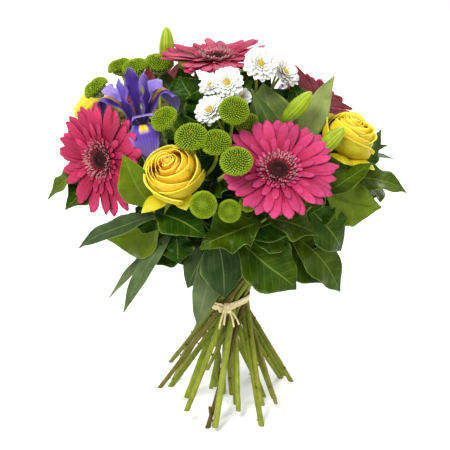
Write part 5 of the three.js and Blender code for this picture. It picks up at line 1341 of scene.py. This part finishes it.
raffia = Growth()
for turn in range(RAFFIA_TURNS):
    lift = RAFFIA_SPREAD * (2 * turn / (RAFFIA_TURNS - 1) - 1)
    line = girdle(BINDING_HEIGHT + lift, 0.4 + 0.6 * (turn % 3))
    angle = np.arctan2(line[:, 1], line[:, 0])
    height = (BINDING_HEIGHT + lift + 1.6 * scatter(2, turn) * np.sin(angle + turn)
              + 0.3 * np.sin(5 * angle + 3 * turn))
    level = np.stack([np.cos(angle), np.sin(angle), 0 * angle], -1)
    lay_strand(raffia, np.column_stack([line, height]), level, 0.5 * RAFFIA_WIDTH, chance(5, turn))
front = girdle(BINDING_HEIGHT, 1.6)
knot = np.array([2, front[np.abs(front[:, 0] - 2) < 4, 1].min() - 1.4, BINDING_HEIGHT + 1])
toward = np.array([0, -1.0, 0])
for number, (shift, lean) in enumerate(KNOT_LOOPS):
    angle = np.linspace(0, 2 * np.pi, 25)
    loop = np.stack([shift + lean * np.sin(angle), -1.9 * np.cos(angle) - 0.4, 5.0 * np.sin(angle)], -1)
    lay_tube(raffia, knot + loop, 1.0, 7, 0.4 + 0.15 * number)
for number, (reach, rise) in enumerate(KNOT_EARS):
    t = np.linspace(0, 1, 15)[:, None]
    ear = (knot + np.sin(np.pi * t) * np.array([reach, -2.0, rise])
           + np.sin(2 * np.pi * t) * np.array([0, -0.6, 2.2]))
    lay_tube(raffia, ear, 0.8, 7, 0.5 + 0.2 * number)
for number, end in enumerate(LOOSE_ENDS):
    route = bezier(knot, knot + np.array([end[0] * 0.7, -5, -4]), knot + np.array(end, float), 12)
    lay_strand(raffia, route, np.tile(toward, (len(route), 1)), 0.9, 0.3 + 0.2 * number)
raffia.piece("raffia_binding", raffia_finish(), "raffia", "raffia_binding")

# A plain pale floor and background, one large soft light from the upper left, a weaker one from the
# right, one from above and behind, and the camera where the photograph was taken from.

floor_mesh = bpy.data.meshes.new("floor")
floor_mesh.from_pydata([(-9, -9, 0), (9, -9, 0), (9, 9, 0), (-9, 9, 0)], [], [(0, 1, 2, 3)])
floor_finish = Finish("floor", roughness=0.9)
floor_shade = floor_finish.ramp(floor_finish.noise(2.0), (0.3, dye(246, 246, 246, 1)),
                                (0.7, dye(250, 250, 250, 1)))
floor_mesh.materials.append(floor_finish.done(floor_shade))
floor = bpy.data.objects.new("floor", floor_mesh)
bpy.context.scene.collection.objects.link(floor)
floor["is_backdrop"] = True

world = bpy.data.worlds.new("studio")
world.use_nodes = True
backdrop = world.node_tree.nodes["Background"]
backdrop.inputs["Color"].default_value = (1, 1, 1, 1)
backdrop.inputs["Strength"].default_value = 1.0
bpy.context.scene.world = world


def hang_light(name, place, aim, size, power):
    lamp = bpy.data.lights.new(name, "AREA")
    lamp.size = size
    lamp.energy = power
    made = bpy.data.objects.new(name, lamp)
    bpy.context.scene.collection.objects.link(made)
    made.location = place
    way = np.array(aim) - np.array(place)
    made.rotation_euler = (math.atan2(math.hypot(way[0], way[1]), -way[2]), 0, math.atan2(-way[0], way[1]))


hang_light("key", (-0.6, -1.1, 1.6), (0, 0, 0.25), 0.7, 42)
hang_light("fill", (1.3, -0.9, 0.9), (0, 0, 0.25), 1.0, 6)
hang_light("rim", (0.3, 1.4, 1.4), (0, 0, 0.25), 0.9, 16)

camera = bpy.data.objects.new("camera", bpy.data.cameras.new("camera"))
camera.data.lens = 96
camera.data.sensor_width = 36
camera.location = (0, -1.12763, 0.60542)
camera.rotation_euler = (math.radians(70), 0, 0)
bpy.context.scene.collection.objects.link(camera)
bpy.context.scene.camera = camera
bpy.context.scene.view_settings.view_transform = "Standard"

bpy.context.view_layer.update()
size = {"cad": [list(c) for c in cad_box], "made": [list(c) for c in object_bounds()]}
